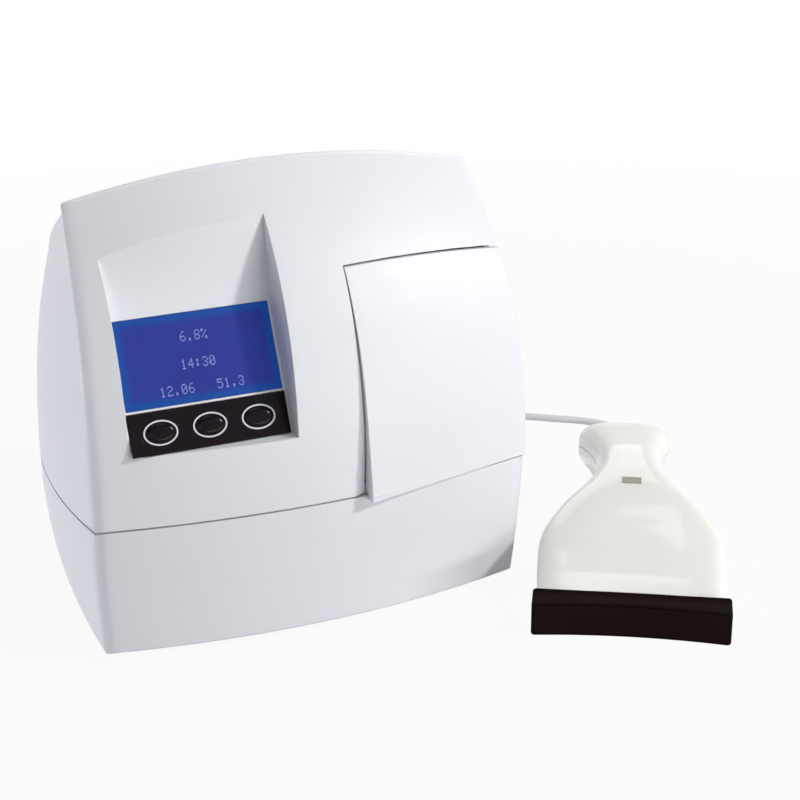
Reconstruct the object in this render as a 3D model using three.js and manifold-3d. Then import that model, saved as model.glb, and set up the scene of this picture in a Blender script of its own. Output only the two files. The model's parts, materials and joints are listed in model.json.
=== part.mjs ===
// Glycated hemoglobin analyzer for the bench, with its corded hand scanner.
// Millimetres. X runs to the right, Y to the back and Z up from the table.
import * as THREE from 'three';
import { mergeVertices } from 'three/addons/utils/BufferGeometryUtils.js';
import Module from 'manifold-3d';

const wasm = await Module();
wasm.setup();

// Casing as a whole
const caseWidth = 205;
const caseDepth = 135;
const footHeight = 2.5;
const seamHeight = 63.3;
const crownHeight = 205.5;
const cornerDrop = 11.6;
const cornerHeight = crownHeight - cornerDrop;
const caseWall = 2.5;
const seamGap = 0.8;
const seatGap = 0.3;
const overrun = 5;

// Front face: it leans back more and more towards the top, and swells forward between its corners
const leanLow = 8.2;
const leanMiddle = 2.4;
const leanHigh = 40.5;
const seamSwell = 11.8;
const topSwell = 19;
const footSwell = 12.4;
const cornerGain = 0.8;
const cornerDrawIn = 8.3;
const footTuck = 4.8;
const footDrawIn = 2.9;

// Sides, rear and roof
const sideSwell = 6.9;
const sideSwellTop = 0.5;
const sideSwellFoot = 2;
const rearDrawIn = 9.9;
const rearDrawInTop = 21;
const rearDrawInFoot = 11.5;
const rearCorner = 30;
const rearLean = 18;
const roofFall = 23;
const roofDrop = 21;
const roofArch = 10.3;
const crestDepth = 45;
const frontEdgeRound = 1.5;
const rearEdgeRound = 14;
const footEdge = 1;
const tableGap = 0.05;
const roundingShares = [0.4, 0.72, 1];
const roofRingShares = [0.3, 0.65];
const wallRingShares = [0.35, 0.7];

// Base tray
const lipHeight = 4;
const lipRoot = 6;
const lipWall = 1.5;
const lipGap = 0.5;
const pillarRadius = 6.5;
const pillarTopRadius = 4;
const postRadius = 4.5;
const postHeight = 26;
const ribWall = 2;
const frontPillarInset = 8.3;
const frontPillarY = 16;
const rearPillarInset = 24.5;
const rearPillarSetback = 30;
const shoulderDrop = 3.3;
const shoulderHeight = seamHeight - shoulderDrop;
const screwRadius = 1.5;
const screwHeadRadius = 3;
const screwHeadHeight = 2.5;
const screwSeatDrop = 10;
const screwSeatHeight = shoulderHeight - screwSeatDrop;
const screwBite = 12;
const screwClearance = 0.4;
const footRadius = 6;
const footSeat = 1.1;
const frontFootInset = 28.5;
const frontFootY = 14;
const rearFootInset = 36.5;
const rearFootSetback = 35;

// Display recess
const recessInset = 16.4;
const recessWidth = 72.6;
const recessCentre = recessInset + recessWidth / 2 - caseWidth / 2;
const panelTilt = 24.6;
const panelFootY = -3.7;
const panelFootRise = 32;
const panelFootZ = seamHeight + panelFootRise;
const hoodTiltLeft = 19.5;
const hoodTiltRight = 7.2;
const hoodReach = 60;
const recessWall = 3.5;
const recessSideWall = 2.2;
const displayWidth = 70;
const displayHeight = 38;
const keyPanelWidth = 71;
const keyPanelHeight = 18.4;
const panelSeam = 1.6;
const panelSeat = 1.5;
const windowProud = 0.3;
const keyPanelProud = 0.5;
const displayMargin = 2;
const displayModuleMargin = 3;
const displayModuleDepth = 6;
const keyMargin = 2.6;
const keyBoardWidth = 58;
const keyWidth = 14.2;
const keyHeight = 10;
const keySpacing = 22;
const keyRise = 1.4;
const keyTravel = 0.9;
const keyFlangeGap = 0.1;
const keyDomeShares = [[0.93, 0.5], [0.7, 0.82], [0.35, 0.96]];
const keyClearance = 0.4;
const keyFlange = 0.7;
const ringWall = 0.9;
const ringProud = 0.25;
const ringSeat = 0.4;
const boardWall = 1.6;

// Lid at the right front
const lidLeftTop = 16.9;
const lidLeftFoot = 18.5;
const lidTopDrop = 31.6;
const lidTopFall = 5.1;
const lidTopLeft = cornerHeight - lidTopDrop;
const lidTopRight = lidTopLeft - lidTopFall;
const lidWall = 2.4;
const lidProud = 1;
const lidPull = 4.5;
const lidPullHang = 2.6;
const lidPullGap = 0.5;
const lidSideGap = 0.6;
const lidTopGap = 0.7;
const lidBackGap = 0.8;
const lidTopArch = 1.9;
const hingeDrop = 7;
const hingeInset = 6;
const earRadius = 3.1;
const earLength = 5;
const earInset = 2.8;
const earWeb = 4.4;
const pinRadius = 1.2;
const pinBite = 5;
const hingeRelief = 0.3;
const notchDepth = 4.2;
const cornerRoom = 1.8;
const jambWidth = 7;
const jambDepth = 12;
const scoopWidth = 6;
const scoopHeight = 32;
const scoopDepth = 3;
const scoopTip = 0.5;
const scoopSkim = 0.05;

// Chassis plate and chamber liner
const chassisWall = 2;
const chassisFront = 8;
const chassisSetback = 23;
const linerStep = 1.5;
const linerInset = 16.5;
const linerWall = 2;
const linerHeadroom = 22.9;
const linerRearRoom = 6;
const linerLeft = lidLeftTop + linerStep;
const linerRight = caseWidth / 2 - linerInset;
const linerTop = cornerHeight - linerHeadroom;
const linerSetback = 5.4;
const flangeWall = 2;

// Cartridge carrier and its drive
const carrierRadius = 24;
const carrierSideRoom = 8.8;
const carrierOffset = 2.2;
const carrierRise = 44.7;
const carrierY = 42;
const carrierZ = seamHeight + carrierRise;
const carrierX = (linerLeft + linerRight) / 2 - carrierOffset;
const carrierLength = linerRight - linerLeft - (linerWall + carrierSideRoom) * 2;
const linerRear = carrierY + carrierRadius + linerRearRoom;
const slotCheek = 5;
const slotWidth = carrierLength - slotCheek * 2;
const slotHeight = 13;
const slotDepth = 34;
const journalRadius = 4;
const gearRadius = 20;
const carrierTeeth = 40;
const gearModule = gearRadius * 2 / carrierTeeth;
const pinionTeeth = 12;
const gearWidth = 5;
const gearBacklash = 0.25;
const rootShare = 1.25;
const rootHalfShare = 0.33;
const tipHalfShare = 0.12;
const motorRadius = 10;
const motorLength = 24;
const motorShaftRadius = 1.5;
const bracketWall = 2;
const bracketWidth = 26;

// Optics
const opticsWidth = 50;
const opticsHeight = 42;
const opticsDepth = 22;
const barrelRadius = 9;
const lensRadius = 7;
const lensWall = 2;

// Boards, inlet, sockets and switch at the back
const mainBoardInset = 35.5;
const mainBoardWidth = caseWidth - mainBoardInset * 2;
const mainBoardRearGap = 3;
const mainBoardFront = 24;
const mainBoardZ = 12;
const standoffRadius = 3;
const jackWidth = 10;
const jackHeight = 12;
const jackHole = 3.1;
const jackPin = 1;
const jackHoleShare = 0.7;
const jackPinShare = 0.8;
const jackInset = 9;
const jackX = jackInset - mainBoardWidth / 2;
const usbWidth = 12;
const usbHeight = 11;
const usbWall = 1.4;
const usbHoleShare = 0.6;
const usbTongueShare = 0.7;
const usbTongueShares = [0.34, 0.62];
const usbTongueWidth = 4.8;
const usbSpacing = 22;
const usbX = jackX + usbSpacing;
const socketWidth = 15;
const socketHeight = 14;
const socketWall = 1.6;
const socketInset = 23;
const socketX = mainBoardWidth / 2 - socketInset;
const socketDepth = 16;
const socketHoleShare = 0.7;
const plugNoseShare = 0.6;
const rockerX = -4;
const rockerWidth = 13;
const rockerHeight = 19;
const rockerZ = 36;
const rockerDepth = 14;
const bezelWall = 1.6;
const bezelLip = 1.2;
const rockerAngle = 9;
const rockerRelief = 2.2;
const rockerShoulderShare = 0.45;
const rockerDipShare = 0.72;
const rockerKeelShare = 0.3;

// Hand scanner: a wide flat mouth, a narrow neck and an arched handle
const scannerX = 115.9;
const scannerY = -77.6;
const scannerTurn = -32;
const scannerLength = 174;
const mouthWidth = 86;
const archHeight = 51;
const shellWall = 2;
const partingShare = 0.42;
const scannerBend = 8;
const endCrowding = 1.25;
const sectionPower = 0.625;
const noseLength = 12;
const noseOverlap = 1.3;
const noseHollow = 3.4;
const noseHeight = 14.5;
const noseMouthWidth = 74;
const noseMouthHeight = 9;
const scanWindowWall = 2;
const scanWindowSetback = 6;
const lampWidth = 9;
const lampLength = 4;
const lampRise = 0.4;
const lampDepth = 1.6;
const lampStation = 79;
const triggerLength = 26;
const triggerWidth = 14;
const triggerStation = 96;
const triggerTravel = 1.5;
const triggerProud = 3;
const scannerBoardShare = 0.72;
const scannerBoardReach = 34;
const scannerBoardRise = 9;
const reliefLength = 16;
const reliefRadius = 4.2;
const reliefEndRadius = 3;
const tailHeight = 9;

// Cord, its coil and its plug
const cordRadius = 2;
const coilOuterRadius = 32;
const coilPitch = 4.8;
const coilLayerRise = 4.6;
const coilLayerTurns = 3.875;
const coilClimbTurns = 0.5;
const coilY = 190;
const plugLength = 16;
const plugReliefLength = 9;
const plugGap = 0.4;

// Facets
const frontSteps = 6;
const recessColumns = 10;
const hoodRows = 3;
const lidColumns = 8;
const lidRows = 9;
const linerColumns = 6;
const sideSteps = 5;
const cornerSteps = 4;
const rearSteps = 2;
const wallRings = 8;
const roundSteps = 24;
const smallSteps = 12;
const footSteps = 16;
const drumSteps = 32;
const sectionSteps = 10;
const stationSteps = 16;
const ovalSteps = 9;
const coilSteps = 24;

// Colours
const shellWhite = { color: 0xe9eaf0, roughness: 0.35, metalness: 0 };
const innerGrey = { color: 0xb9bcc2, roughness: 0.6, metalness: 0 };
const gloss = { color: 0x17131a, roughness: 0.12, metalness: 0 };
const darkPlastic = { color: 0x1c1a1c, roughness: 0.5, metalness: 0 };
const steel = { color: 0xb8bbc0, roughness: 0.3, metalness: 1 };
const boardGreen = { color: 0x1f5a3a, roughness: 0.5, metalness: 0 };

const radians = THREE.MathUtils.degToRad;
const mix = THREE.MathUtils.lerp;
const point = (x, y, z) => new THREE.Vector3(x, y, z);

// Closed solids and booleans
function closedMesh(points, faces) {
  const geometry = new THREE.BufferGeometry();
  const places = points.flatMap((p) => [p.x, p.y, p.z]);
  geometry.setAttribute('position', new THREE.Float32BufferAttribute(places, 3));
  let volume = 0;
  for (const [a, b, c] of faces) {
    volume += points[a].dot(points[b].clone().cross(points[c]));
  }
  geometry.setIndex(faces.flatMap(([a, b, c]) => (volume < 0 ? [a, c, b] : [a, b, c])));
  geometry.computeVertexNormals();
  return geometry;
}

function solid(geometry) {
  const bare = geometry.clone();
  bare.deleteAttribute('normal');
  bare.deleteAttribute('uv');
  const merged = mergeVertices(bare);
  const vertProperties = new Float32Array(merged.attributes.position.array);
  const triVerts = new Uint32Array(merged.index.array);
  return new wasm.Manifold(new wasm.Mesh({ numProp: 3, vertProperties, triVerts }));
}

function geometryOf(body) {
  const mesh = body.getMesh();
  const indexed = new THREE.BufferGeometry();
  indexed.setAttribute('position', new THREE.BufferAttribute(new Float32Array(mesh.vertProperties), 3));
  indexed.setIndex(new THREE.BufferAttribute(new Uint32Array(mesh.triVerts), 1));
  const geometry = indexed.toNonIndexed();
  geometry.computeVertexNormals();
  return geometry;
}

// Rings of equal length, joined one after the other and closed by a fan at each end
function loft(rings, firstTip, lastTip) {
  const count = rings[0].length;
  const points = rings.flat();
  const faces = [];
  for (let r = 0; r + 1 < rings.length; r += 1) {
    for (let i = 0; i < count; i += 1) {
      const a = r * count + i;
      const b = r * count + (i + 1) % count;
      faces.push([a, b, b + count], [a, b + count, a + count]);
    }
  }
  const middle = (ring) => ring.reduce((sum, p) => sum.add(p), point(0, 0, 0)).divideScalar(count);
  const first = points.push(firstTip ?? middle(rings[0])) - 1;
  const last = points.push(lastTip ?? middle(rings.at(-1))) - 1;
  const base = (rings.length - 1) * count;
  for (let i = 0; i < count; i += 1) {
    const next = (i + 1) % count;
    faces.push([first, next, i], [last, base + i, base + next]);
  }
  return closedMesh(points, faces);
}

// A curved plate: a grid of points on its near face and one on its far face
function plate(columns, rows, near, far) {
  const rings = [];
  for (let i = 0; i <= columns; i += 1) {
    const up = [];
    const down = [];
    for (let j = 0; j <= rows; j += 1) {
      up.push(near(i / columns, j / rows));
      down.unshift(far(i / columns, j / rows));
    }
    rings.push([...up, ...down]);
  }
  const count = rings[0].length;
  const points = rings.flat();
  const faces = [];
  for (let r = 0; r < columns; r += 1) {
    for (let i = 0; i < count; i += 1) {
      const a = r * count + i;
      const b = r * count + (i + 1) % count;
      faces.push([a, b, b + count], [a, b + count, a + count]);
    }
  }
  const end = columns * count;
  for (let j = 0; j < rows; j += 1) {
    const k = count - 1 - j;
    faces.push([j, k, j + 1], [j + 1, k, k - 1]);
    faces.push([end + j, end + j + 1, end + k], [end + j + 1, end + k - 1, end + k]);
  }
  return closedMesh(points, faces);
}

function box(x0, x1, y0, y1, z0, z1) {
  const geometry = new THREE.BoxGeometry(x1 - x0, y1 - y0, z1 - z0);
  return geometry.translate((x0 + x1) / 2, (y0 + y1) / 2, (z0 + z1) / 2);
}

// A cylinder along Z from one height to another
function post(radius, x, y, z0, z1, steps = roundSteps) {
  const geometry = new THREE.CylinderGeometry(radius, radius, z1 - z0, steps);
  return geometry.rotateX(Math.PI / 2).translate(x, y, (z0 + z1) / 2);
}

// A cylinder along X
function axle(radius, x0, x1, y, z, steps = roundSteps) {
  const geometry = new THREE.CylinderGeometry(radius, radius, x1 - x0, steps);
  return geometry.rotateZ(Math.PI / 2).translate((x0 + x1) / 2, y, z);
}

function ellipsePath(width, height, target) {
  target.absellipse(0, 0, width / 2, height / 2, 0, Math.PI * 2);
  return target;
}

function extrudeUp(shape, z0, z1, steps = ovalSteps) {
  const options = { depth: z1 - z0, bevelEnabled: false, curveSegments: steps };
  return new THREE.ExtrudeGeometry(shape, options).translate(0, 0, z0);
}

function joined(...geometries) {
  return geometries.map(solid).reduce((all, next) => all.add(next));
}

function named(name, geometry, look) {
  const mesh = new THREE.Mesh(geometry, new THREE.MeshStandardMaterial(look));
  mesh.name = name;
  return mesh;
}

// Share of the height from the seam to the top corners, and from the seam down to the foot
const riseShare = (z) => Math.max(0, (z - seamHeight) / (cornerHeight - seamHeight));
const sinkShare = (z) => Math.max(0, (seamHeight - z) / (seamHeight - footHeight));

function halfWidth(z) {
  const u = riseShare(z);
  const w = sinkShare(z);
  return caseWidth / 2 + cornerGain * u - cornerDrawIn * u * u - footDrawIn * w * w;
}

// Depth of the front face at a place on it
function frontDepth(x, z) {
  const u = riseShare(z);
  const w = sinkShare(z);
  const crease = leanLow * u + leanMiddle * u * u + leanHigh * u ** 3 + footTuck * w;
  const swell = seamSwell + (topSwell - seamSwell) * u + (footSwell - seamSwell) * w;
  return crease - swell * (1 - (x / halfWidth(z)) ** 2);
}

// How much deeper a surface lies when it is set in square to the leaning front
function setIn(z, inset) {
  const step = caseWall;
  const slope = (frontDepth(0, z + step) - frontDepth(0, z - step)) / (step + step);
  return inset * Math.hypot(1, slope);
}

const rearDepth = (z) => caseDepth - seamSwell - rearLean * riseShare(z) ** 2;

function roofHeight(x, y, inset) {
  const share = (y - crestDepth) / (caseDepth - seamSwell - crestDepth);
  const fall = roofFall * share + roofDrop * share * share;
  return crownHeight - inset - fall - roofArch * (x / halfWidth(cornerHeight)) ** 2;
}

// One half of the casing's outline at a height, from the middle of the front to the middle of the rear
function halfOutline(z, inset) {
  const u = riseShare(z);
  const w = sinkShare(z);
  const half = halfWidth(z) - inset;
  const outline = [];
  for (let i = 0; i <= frontSteps; i += 1) {
    const x = half * i / frontSteps;
    outline.push([x, frontDepth(x, z) + setIn(z, inset)]);
  }
  const swell = sideSwell + (sideSwellTop - sideSwell) * u * u + (sideSwellFoot - sideSwell) * w * w;
  const taper = rearDrawIn + (rearDrawInTop - rearDrawIn) * u ** 4 + (rearDrawInFoot - rearDrawIn) * w * w;
  const start = outline.at(-1)[1];
  const rear = rearDepth(z) - inset;
  const run = rear - start;
  const radius = rearCorner - inset;
  const side = (s) => half + 4 * swell * s * (1 - s) - taper * s;
  let angle = 0;
  let turn = 1 - radius / run;
  for (let k = 0; k < sideSteps; k += 1) {
    angle = Math.atan((taper - 4 * swell * (1 - 2 * turn)) / run);
    turn = 1 - radius * (1 - Math.sin(angle)) / run;
  }
  for (let i = 1; i <= sideSteps; i += 1) {
    const s = turn * i / sideSteps;
    outline.push([side(s), start + run * s]);
  }
  const centreX = side(turn) - radius * Math.cos(angle);
  for (let i = 1; i <= cornerSteps; i += 1) {
    const a = mix(angle, Math.PI / 2, i / cornerSteps);
    outline.push([centreX + radius * Math.cos(a), rear - radius + radius * Math.sin(a)]);
  }
  for (let i = 1; i <= rearSteps; i += 1) {
    outline.push([centreX * (1 - i / rearSteps), rear]);
  }
  return outline;
}

function wholeRing(half) {
  const mirrored = half.slice(1, -1).reverse().map((p) => point(-p.x, p.y, p.z));
  return [...half, ...mirrored];
}

function ringAt(z, inset) {
  return wholeRing(halfOutline(z, inset).map(([x, y]) => point(x, y, z)));
}

// Rounding where the walls meet the roof: crisp along the front edge, wide at the rear
function edgeRound(index, inset) {
  const share = THREE.MathUtils.clamp((index - frontSteps) / sideSteps, 0, 1);
  const eased = share * share * (3 - 2 * share);
  return Math.max(frontEdgeRound, mix(frontEdgeRound, rearEdgeRound, eased) - inset);
}

// The body of the upper casing: walls up to the rim, a rounded edge and a falling roof
function upperBody(floor, inset, rings) {
  const count = halfOutline(seamHeight, inset).length;
  const rim = [];
  for (let i = 0; i < count; i += 1) {
    let z = cornerHeight;
    for (let k = 0; k < roundSteps; k += 1) {
      const [x, y] = halfOutline(z, inset)[i];
      z = roofHeight(x, y, inset) - edgeRound(i, inset);
    }
    rim.push(z);
  }
  const layers = [];
  for (let r = 0; r <= rings; r += 1) {
    layers.push(rim.map((top, i) => {
      const z = mix(floor, top, r / rings);
      const [x, y] = halfOutline(z, inset)[i];
      return point(x, y, z);
    }));
  }
  const middle = (crestDepth + rearDepth(cornerHeight)) / 2;
  const edge = layers.at(-1);
  const inward = edge.map((p) => point(-p.x, middle - p.y, 0).normalize());
  const rounded = (i, turn) => {
    const radius = edgeRound(i, inset);
    const place = edge[i].clone().addScaledVector(inward[i], radius * (1 - Math.cos(turn)));
    const end = edge[i].clone().addScaledVector(inward[i], radius);
    place.z = mix(edge[i].z, roofHeight(end.x, end.y, inset), Math.sin(turn));
    return place;
  };
  for (const share of roundingShares) {
    layers.push(edge.map((p, i) => rounded(i, share * Math.PI / 2)));
  }
  const last = layers.at(-1);
  for (const share of roofRingShares) {
    layers.push(last.map((p) => {
      const x = p.x * (1 - share);
      const y = mix(p.y, middle, share);
      return point(x, y, roofHeight(x, y, inset));
    }));
  }
  const tip = point(0, middle, roofHeight(0, middle, inset));
  return loft(layers.map(wholeRing), undefined, tip);
}

// Base tray
const lipTop = seamHeight + lipHeight;
const pillarTop = seamHeight + ribWall - seatGap;
const frontPillarX = caseWidth / 2 - frontPillarInset;
const rearPillarX = caseWidth / 2 - rearPillarInset;
const pillars = [
  { x: frontPillarX, y: frontPillarY, rib: 0 },
  { x: -frontPillarX, y: frontPillarY, rib: Math.PI },
  { x: rearPillarX, y: caseDepth - rearPillarSetback, rib: Math.PI / 4 },
  { x: -rearPillarX, y: caseDepth - rearPillarSetback, rib: Math.PI * 3 / 4 },
];
const frontFootX = caseWidth / 2 - frontFootInset;
const rearFootX = caseWidth / 2 - rearFootInset;
const footPlaces = [
  { name: 'foot_front_right', x: frontFootX, y: frontFootY },
  { name: 'foot_front_left', x: -frontFootX, y: frontFootY },
  { name: 'foot_rear_right', x: rearFootX, y: caseDepth - rearFootSetback },
  { name: 'foot_rear_left', x: -rearFootX, y: caseDepth - rearFootSetback },
];

function lipRing() {
  const inner = caseWall + lipGap;
  const step = seamHeight - seamGap - caseWall;
  const outer = loft([
    ringAt(seamHeight - seamGap - lipRoot, caseWall - seatGap),
    ringAt(step, caseWall - seatGap),
    ringAt(step + seatGap, inner),
    ringAt(lipTop, inner),
  ]);
  const bore = loft([
    ringAt(seamHeight - seamGap - lipRoot - overrun, inner + lipWall),
    ringAt(lipTop + overrun, inner + lipWall),
  ]);
  return solid(outer).subtract(solid(bore));
}

const floorTop = footHeight + caseWall;
const backWall = rearDepth(footHeight);
const standoffs = [-1, 1].flatMap((side) => [
  { x: side * (mainBoardWidth / 2 - standoffRadius * 2), y: mainBoardFront + standoffRadius * 2 },
  { x: side * (mainBoardWidth / 2 - standoffRadius * 2), y: backWall - caseWall - standoffRadius * 5 },
]);
const socketFloor = mainBoardZ + boardWall + seatGap;

function backOpening(x, width, height, z) {
  const half = width / 2 + seatGap;
  return solid(box(x - half, x + half, backWall - caseWall * 2, backWall + overrun,
    z - seatGap, z + height + seatGap));
}

function baseTray() {
  const outer = solid(loft([
    ringAt(footHeight, footEdge),
    ringAt(footHeight + footEdge, 0),
    ...wallRingShares.map((share) => ringAt(mix(footHeight, seamHeight, share), 0)),
    ringAt(seamHeight - seamGap, 0),
  ]));
  const inner = solid(loft([
    ringAt(floorTop, caseWall),
    ...wallRingShares.map((share) => ringAt(mix(footHeight, seamHeight, share), caseWall)),
    ringAt(seamHeight + overrun, caseWall),
  ]));
  let tray = outer.subtract(inner).add(lipRing());
  for (const { x, y } of pillars) {
    const thick = solid(post(pillarRadius, x, y, footHeight + footEdge, shoulderHeight, smallSteps));
    const thin = solid(post(pillarTopRadius, x, y, shoulderHeight - caseWall, pillarTop, smallSteps));
    tray = tray.add(thick.add(thin).intersect(solid(pillarLimit)));
  }
  for (const { x, y } of standoffs) {
    const standoff = post(standoffRadius, x, y, footHeight + footEdge, mainBoardZ - seatGap, smallSteps);
    tray = tray.add(solid(standoff));
  }
  for (const { x, y } of pillars) {
    const wide = screwHeadRadius + screwClearance;
    tray = tray.subtract(solid(post(wide, x, y, -overrun, screwSeatHeight, smallSteps)));
    tray = tray.subtract(solid(post(screwRadius + seatGap, x, y, 0, pillarTop + overrun, smallSteps)));
  }
  for (const { x, y } of footPlaces) {
    const pocket = post(footRadius + seatGap, x, y, -overrun, footHeight + footSeat, footSteps);
    tray = tray.subtract(solid(pocket));
  }
  tray = tray.subtract(backOpening(jackX, jackWidth, jackHeight, socketFloor));
  tray = tray.subtract(backOpening(usbX, usbWidth, usbHeight, socketFloor));
  tray = tray.subtract(backOpening(socketX, socketWidth, socketHeight, socketFloor));
  tray = tray.subtract(backOpening(rockerX, rockerWidth + bezelWall * 2, rockerHeight + bezelWall * 2,
    rockerZ - rockerHeight / 2 - bezelWall));
  return named('base_tray', geometryOf(tray), shellWhite);
}

// What stands inside the casing stays clear of its outer faces
const pillarLimit = loft([
  ringAt(footHeight + footEdge, footEdge),
  ...wallRingShares.map((share) => ringAt(mix(footHeight, seamHeight, share), footEdge)),
  ringAt(seamHeight, footEdge),
  ringAt(lipTop + overrun, footEdge),
]);

function feet() {
  const top = footHeight + footSeat - seatGap;
  return footPlaces.map(({ name, x, y }) => named(name, post(footRadius, x, y, 0, top, footSteps),
    { color: 0x2a2b2e, roughness: 0.85, metalness: 0 }));
}

function caseScrews() {
  return pillars.map(({ x, y }, i) => {
    const head = post(screwHeadRadius, x, y, screwSeatHeight - seatGap - screwHeadHeight,
      screwSeatHeight - seatGap, smallSteps);
    const shank = post(screwRadius, x, y, screwSeatHeight - screwHeadHeight, pillarTop + screwBite,
      smallSteps);
    const drive = new THREE.CylinderGeometry(screwRadius, screwRadius, screwHeadHeight, 6);
    drive.rotateX(Math.PI / 2).translate(x, y, screwSeatHeight - seatGap - screwHeadHeight);
    return named(`case_screw_${i + 1}`, geometryOf(joined(head, shank).subtract(solid(drive))), steel);
  });
}

// Display recess: its floor follows the panel, then the hood above the display
const tilt = radians(panelTilt);
const panelRise = keyPanelHeight + panelSeam + displayHeight;

function recessProfile(x, grow) {
  const share = THREE.MathUtils.clamp(0.5 - (x - recessCentre) / recessWidth, 0, 1);
  const hood = radians(hoodTiltRight + (hoodTiltLeft - hoodTiltRight) * share * share);
  const back = grow / Math.cos(tilt);
  const footY = panelFootY + back;
  const kneeY = footY + panelRise * Math.sin(tilt);
  const kneeZ = panelFootZ + panelRise * Math.cos(tilt);
  const profile = [point(x, footY - grow * Math.tan(tilt), panelFootZ - grow)];
  for (let i = 0; i <= hoodRows; i += 1) {
    const up = hoodReach * i / hoodRows;
    profile.push(point(x, kneeY + up * Math.tan(hood), kneeZ + up));
  }
  profile.push(point(x, -caseDepth, kneeZ + hoodReach), point(x, -caseDepth, panelFootZ - grow));
  return profile;
}

function recessSolid(grow, sideGrow) {
  const half = recessWidth / 2 + sideGrow;
  const rings = [];
  for (let i = 0; i <= recessColumns; i += 1) {
    rings.push(recessProfile(recessCentre + half * (2 * i / recessColumns - 1), grow));
  }
  return solid(loft(rings));
}

// Places a solid drawn flat on the panel: X along it, Y up its slope and Z out of it
const panelPlace = new THREE.Matrix4().makeRotationX(Math.PI / 2 - tilt);
panelPlace.setPosition(recessCentre, panelFootY, panelFootZ);
const onPanel = (geometry) => geometry.clone().applyMatrix4(panelPlace);
const displayFoot = keyPanelHeight + panelSeam;

// The display module lies behind the recess, with a little room round it
function moduleBlock(room) {
  const wide = displayWidth / 2 + displayModuleMargin + room;
  const front = -recessWall - seatGap + room;
  return box(-wide, wide, displayFoot - seatGap - room, displayFoot + displayHeight + displayModuleMargin + room,
    front - displayModuleDepth - room * 2, front);
}

function panelCuts() {
  const window = box(-displayWidth / 2 - seatGap, displayWidth / 2 + seatGap,
    displayFoot - seatGap, displayFoot + displayHeight + seatGap, -panelSeat, overrun);
  const view = box(-displayWidth / 2 + displayMargin, displayWidth / 2 - displayMargin,
    displayFoot + displayMargin, displayFoot + displayHeight - displayMargin, -recessWall * 2, overrun);
  const keys = box(-keyPanelWidth / 2 - seatGap, keyPanelWidth / 2 + seatGap,
    0, keyPanelHeight + seatGap, -panelSeat, overrun);
  const shaft = box(-keyPanelWidth / 2 + keyMargin, keyPanelWidth / 2 - keyMargin,
    keyMargin, keyPanelHeight - keyMargin + seatGap, -recessWall * 2, overrun);
  return [window, view, keys, shaft, moduleBlock(seatGap / 2)].map((cut) => solid(onPanel(cut)));
}

// Lid outline in the front view
const lidFoot = seamHeight + seatGap;
const lidRight = (z) => halfWidth(z) + lidProud;
const lidLeft = (z) => mix(lidLeftFoot, lidLeftTop, (z - seamHeight) / (lidTopLeft - seamHeight));

function lidTop(x) {
  const share = (x - lidLeftTop) / (caseWidth / 2 - lidLeftTop);
  return mix(lidTopLeft, lidTopRight, share) + 4 * lidTopArch * share * (1 - share);
}

function lidSkin(across, up, inset) {
  const left = mix(lidLeftFoot, lidLeftTop, up);
  const z = mix(lidFoot, lidTop(mix(left, caseWidth / 2, across)), up);
  const x = mix(left, lidRight(z), across);
  return point(x, frontDepth(x, z) + inset, z);
}

const lidBulge = (across, up) => lidProud * (1 - up ** 4) + lidPull * (1 - across) ** 2 * (1 - up) ** 2;

// Hinge axis: a line just behind the lid's top edge
function hingePoint(x) {
  const z = lidTop(x) - hingeDrop;
  return point(x, frontDepth(x, z) + setIn(z, hingeInset), z);
}

const hingeLeft = hingePoint(lidLeftTop);
const hingeRight = hingePoint(halfWidth(lidTopRight) - caseWall);
const hingeAxis = hingeRight.clone().sub(hingeLeft).normalize();
const hingeLength = hingeRight.distanceTo(hingeLeft);

// Hinge frame: X along the axis, Y inward and Z up along the lid's skin
const skinRise = frontDepth(lidLeftTop, lidTopLeft) - frontDepth(lidLeftTop, lidTopLeft - caseWall);
const hingeUp = point(0, skinRise, caseWall).projectOnPlane(hingeAxis).normalize();
const hingePlace = new THREE.Matrix4().makeBasis(hingeAxis, hingeUp.clone().cross(hingeAxis), hingeUp);
hingePlace.setPosition(hingeLeft);

const onHinge = (geometry) => geometry.applyMatrix4(hingePlace);
const hingeRod = (radius, from, to, steps = smallSteps) => onHinge(axle(radius, from, to, 0, 0, steps));

const leftEar = { from: earInset, to: earInset + earLength };
const rightEar = { from: hingeLength - earInset - earLength, to: hingeLength - earInset };

// The lid's lower left edge stands proud and hangs a little over the base
function lidPullEdge() {
  const place = (a, b, inset) => {
    const z = mix(lidFoot - lidPullHang * (1 - a) ** 2, lidFoot + lidWall, b);
    const x = mix(lidLeftFoot, lidRight(z), a);
    return point(x, frontDepth(x, z) + inset, z);
  };
  const bulge = (a, b) => lidBulge(a, b * lidWall / (lidTopLeft - lidFoot));
  return solid(plate(lidColumns, 2,
    (a, b) => place(a, b, -bulge(a, b)),
    (a, b) => place(a, b, -lidPullGap)));
}

function lid() {
  const skin = plate(lidColumns, lidRows,
    (a, b) => lidSkin(a, b, -lidBulge(a, b)),
    (a, b) => lidSkin(a, b, lidWall));
  let body = solid(skin);
  const limit = solid(plate(lidColumns, lidRows,
    (a, b) => lidSkin(a, b, lidWall / 2),
    (a, b) => lidSkin(a, b, caseDepth)));
  for (const ear of [leftEar, rightEar]) {
    const web = solid(onHinge(box(ear.from, ear.to, -hingeInset * 2, 0, -earWeb / 2, earWeb / 2)));
    body = body.add(solid(hingeRod(earRadius, ear.from, ear.to))).add(web.intersect(limit));
  }
  const bore = hingeRod(pinRadius + seatGap, -pinBite, hingeLength + pinBite);
  body = body.add(lidPullEdge()).subtract(solid(bore));
  return named('lid', geometryOf(body), shellWhite);
}

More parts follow.
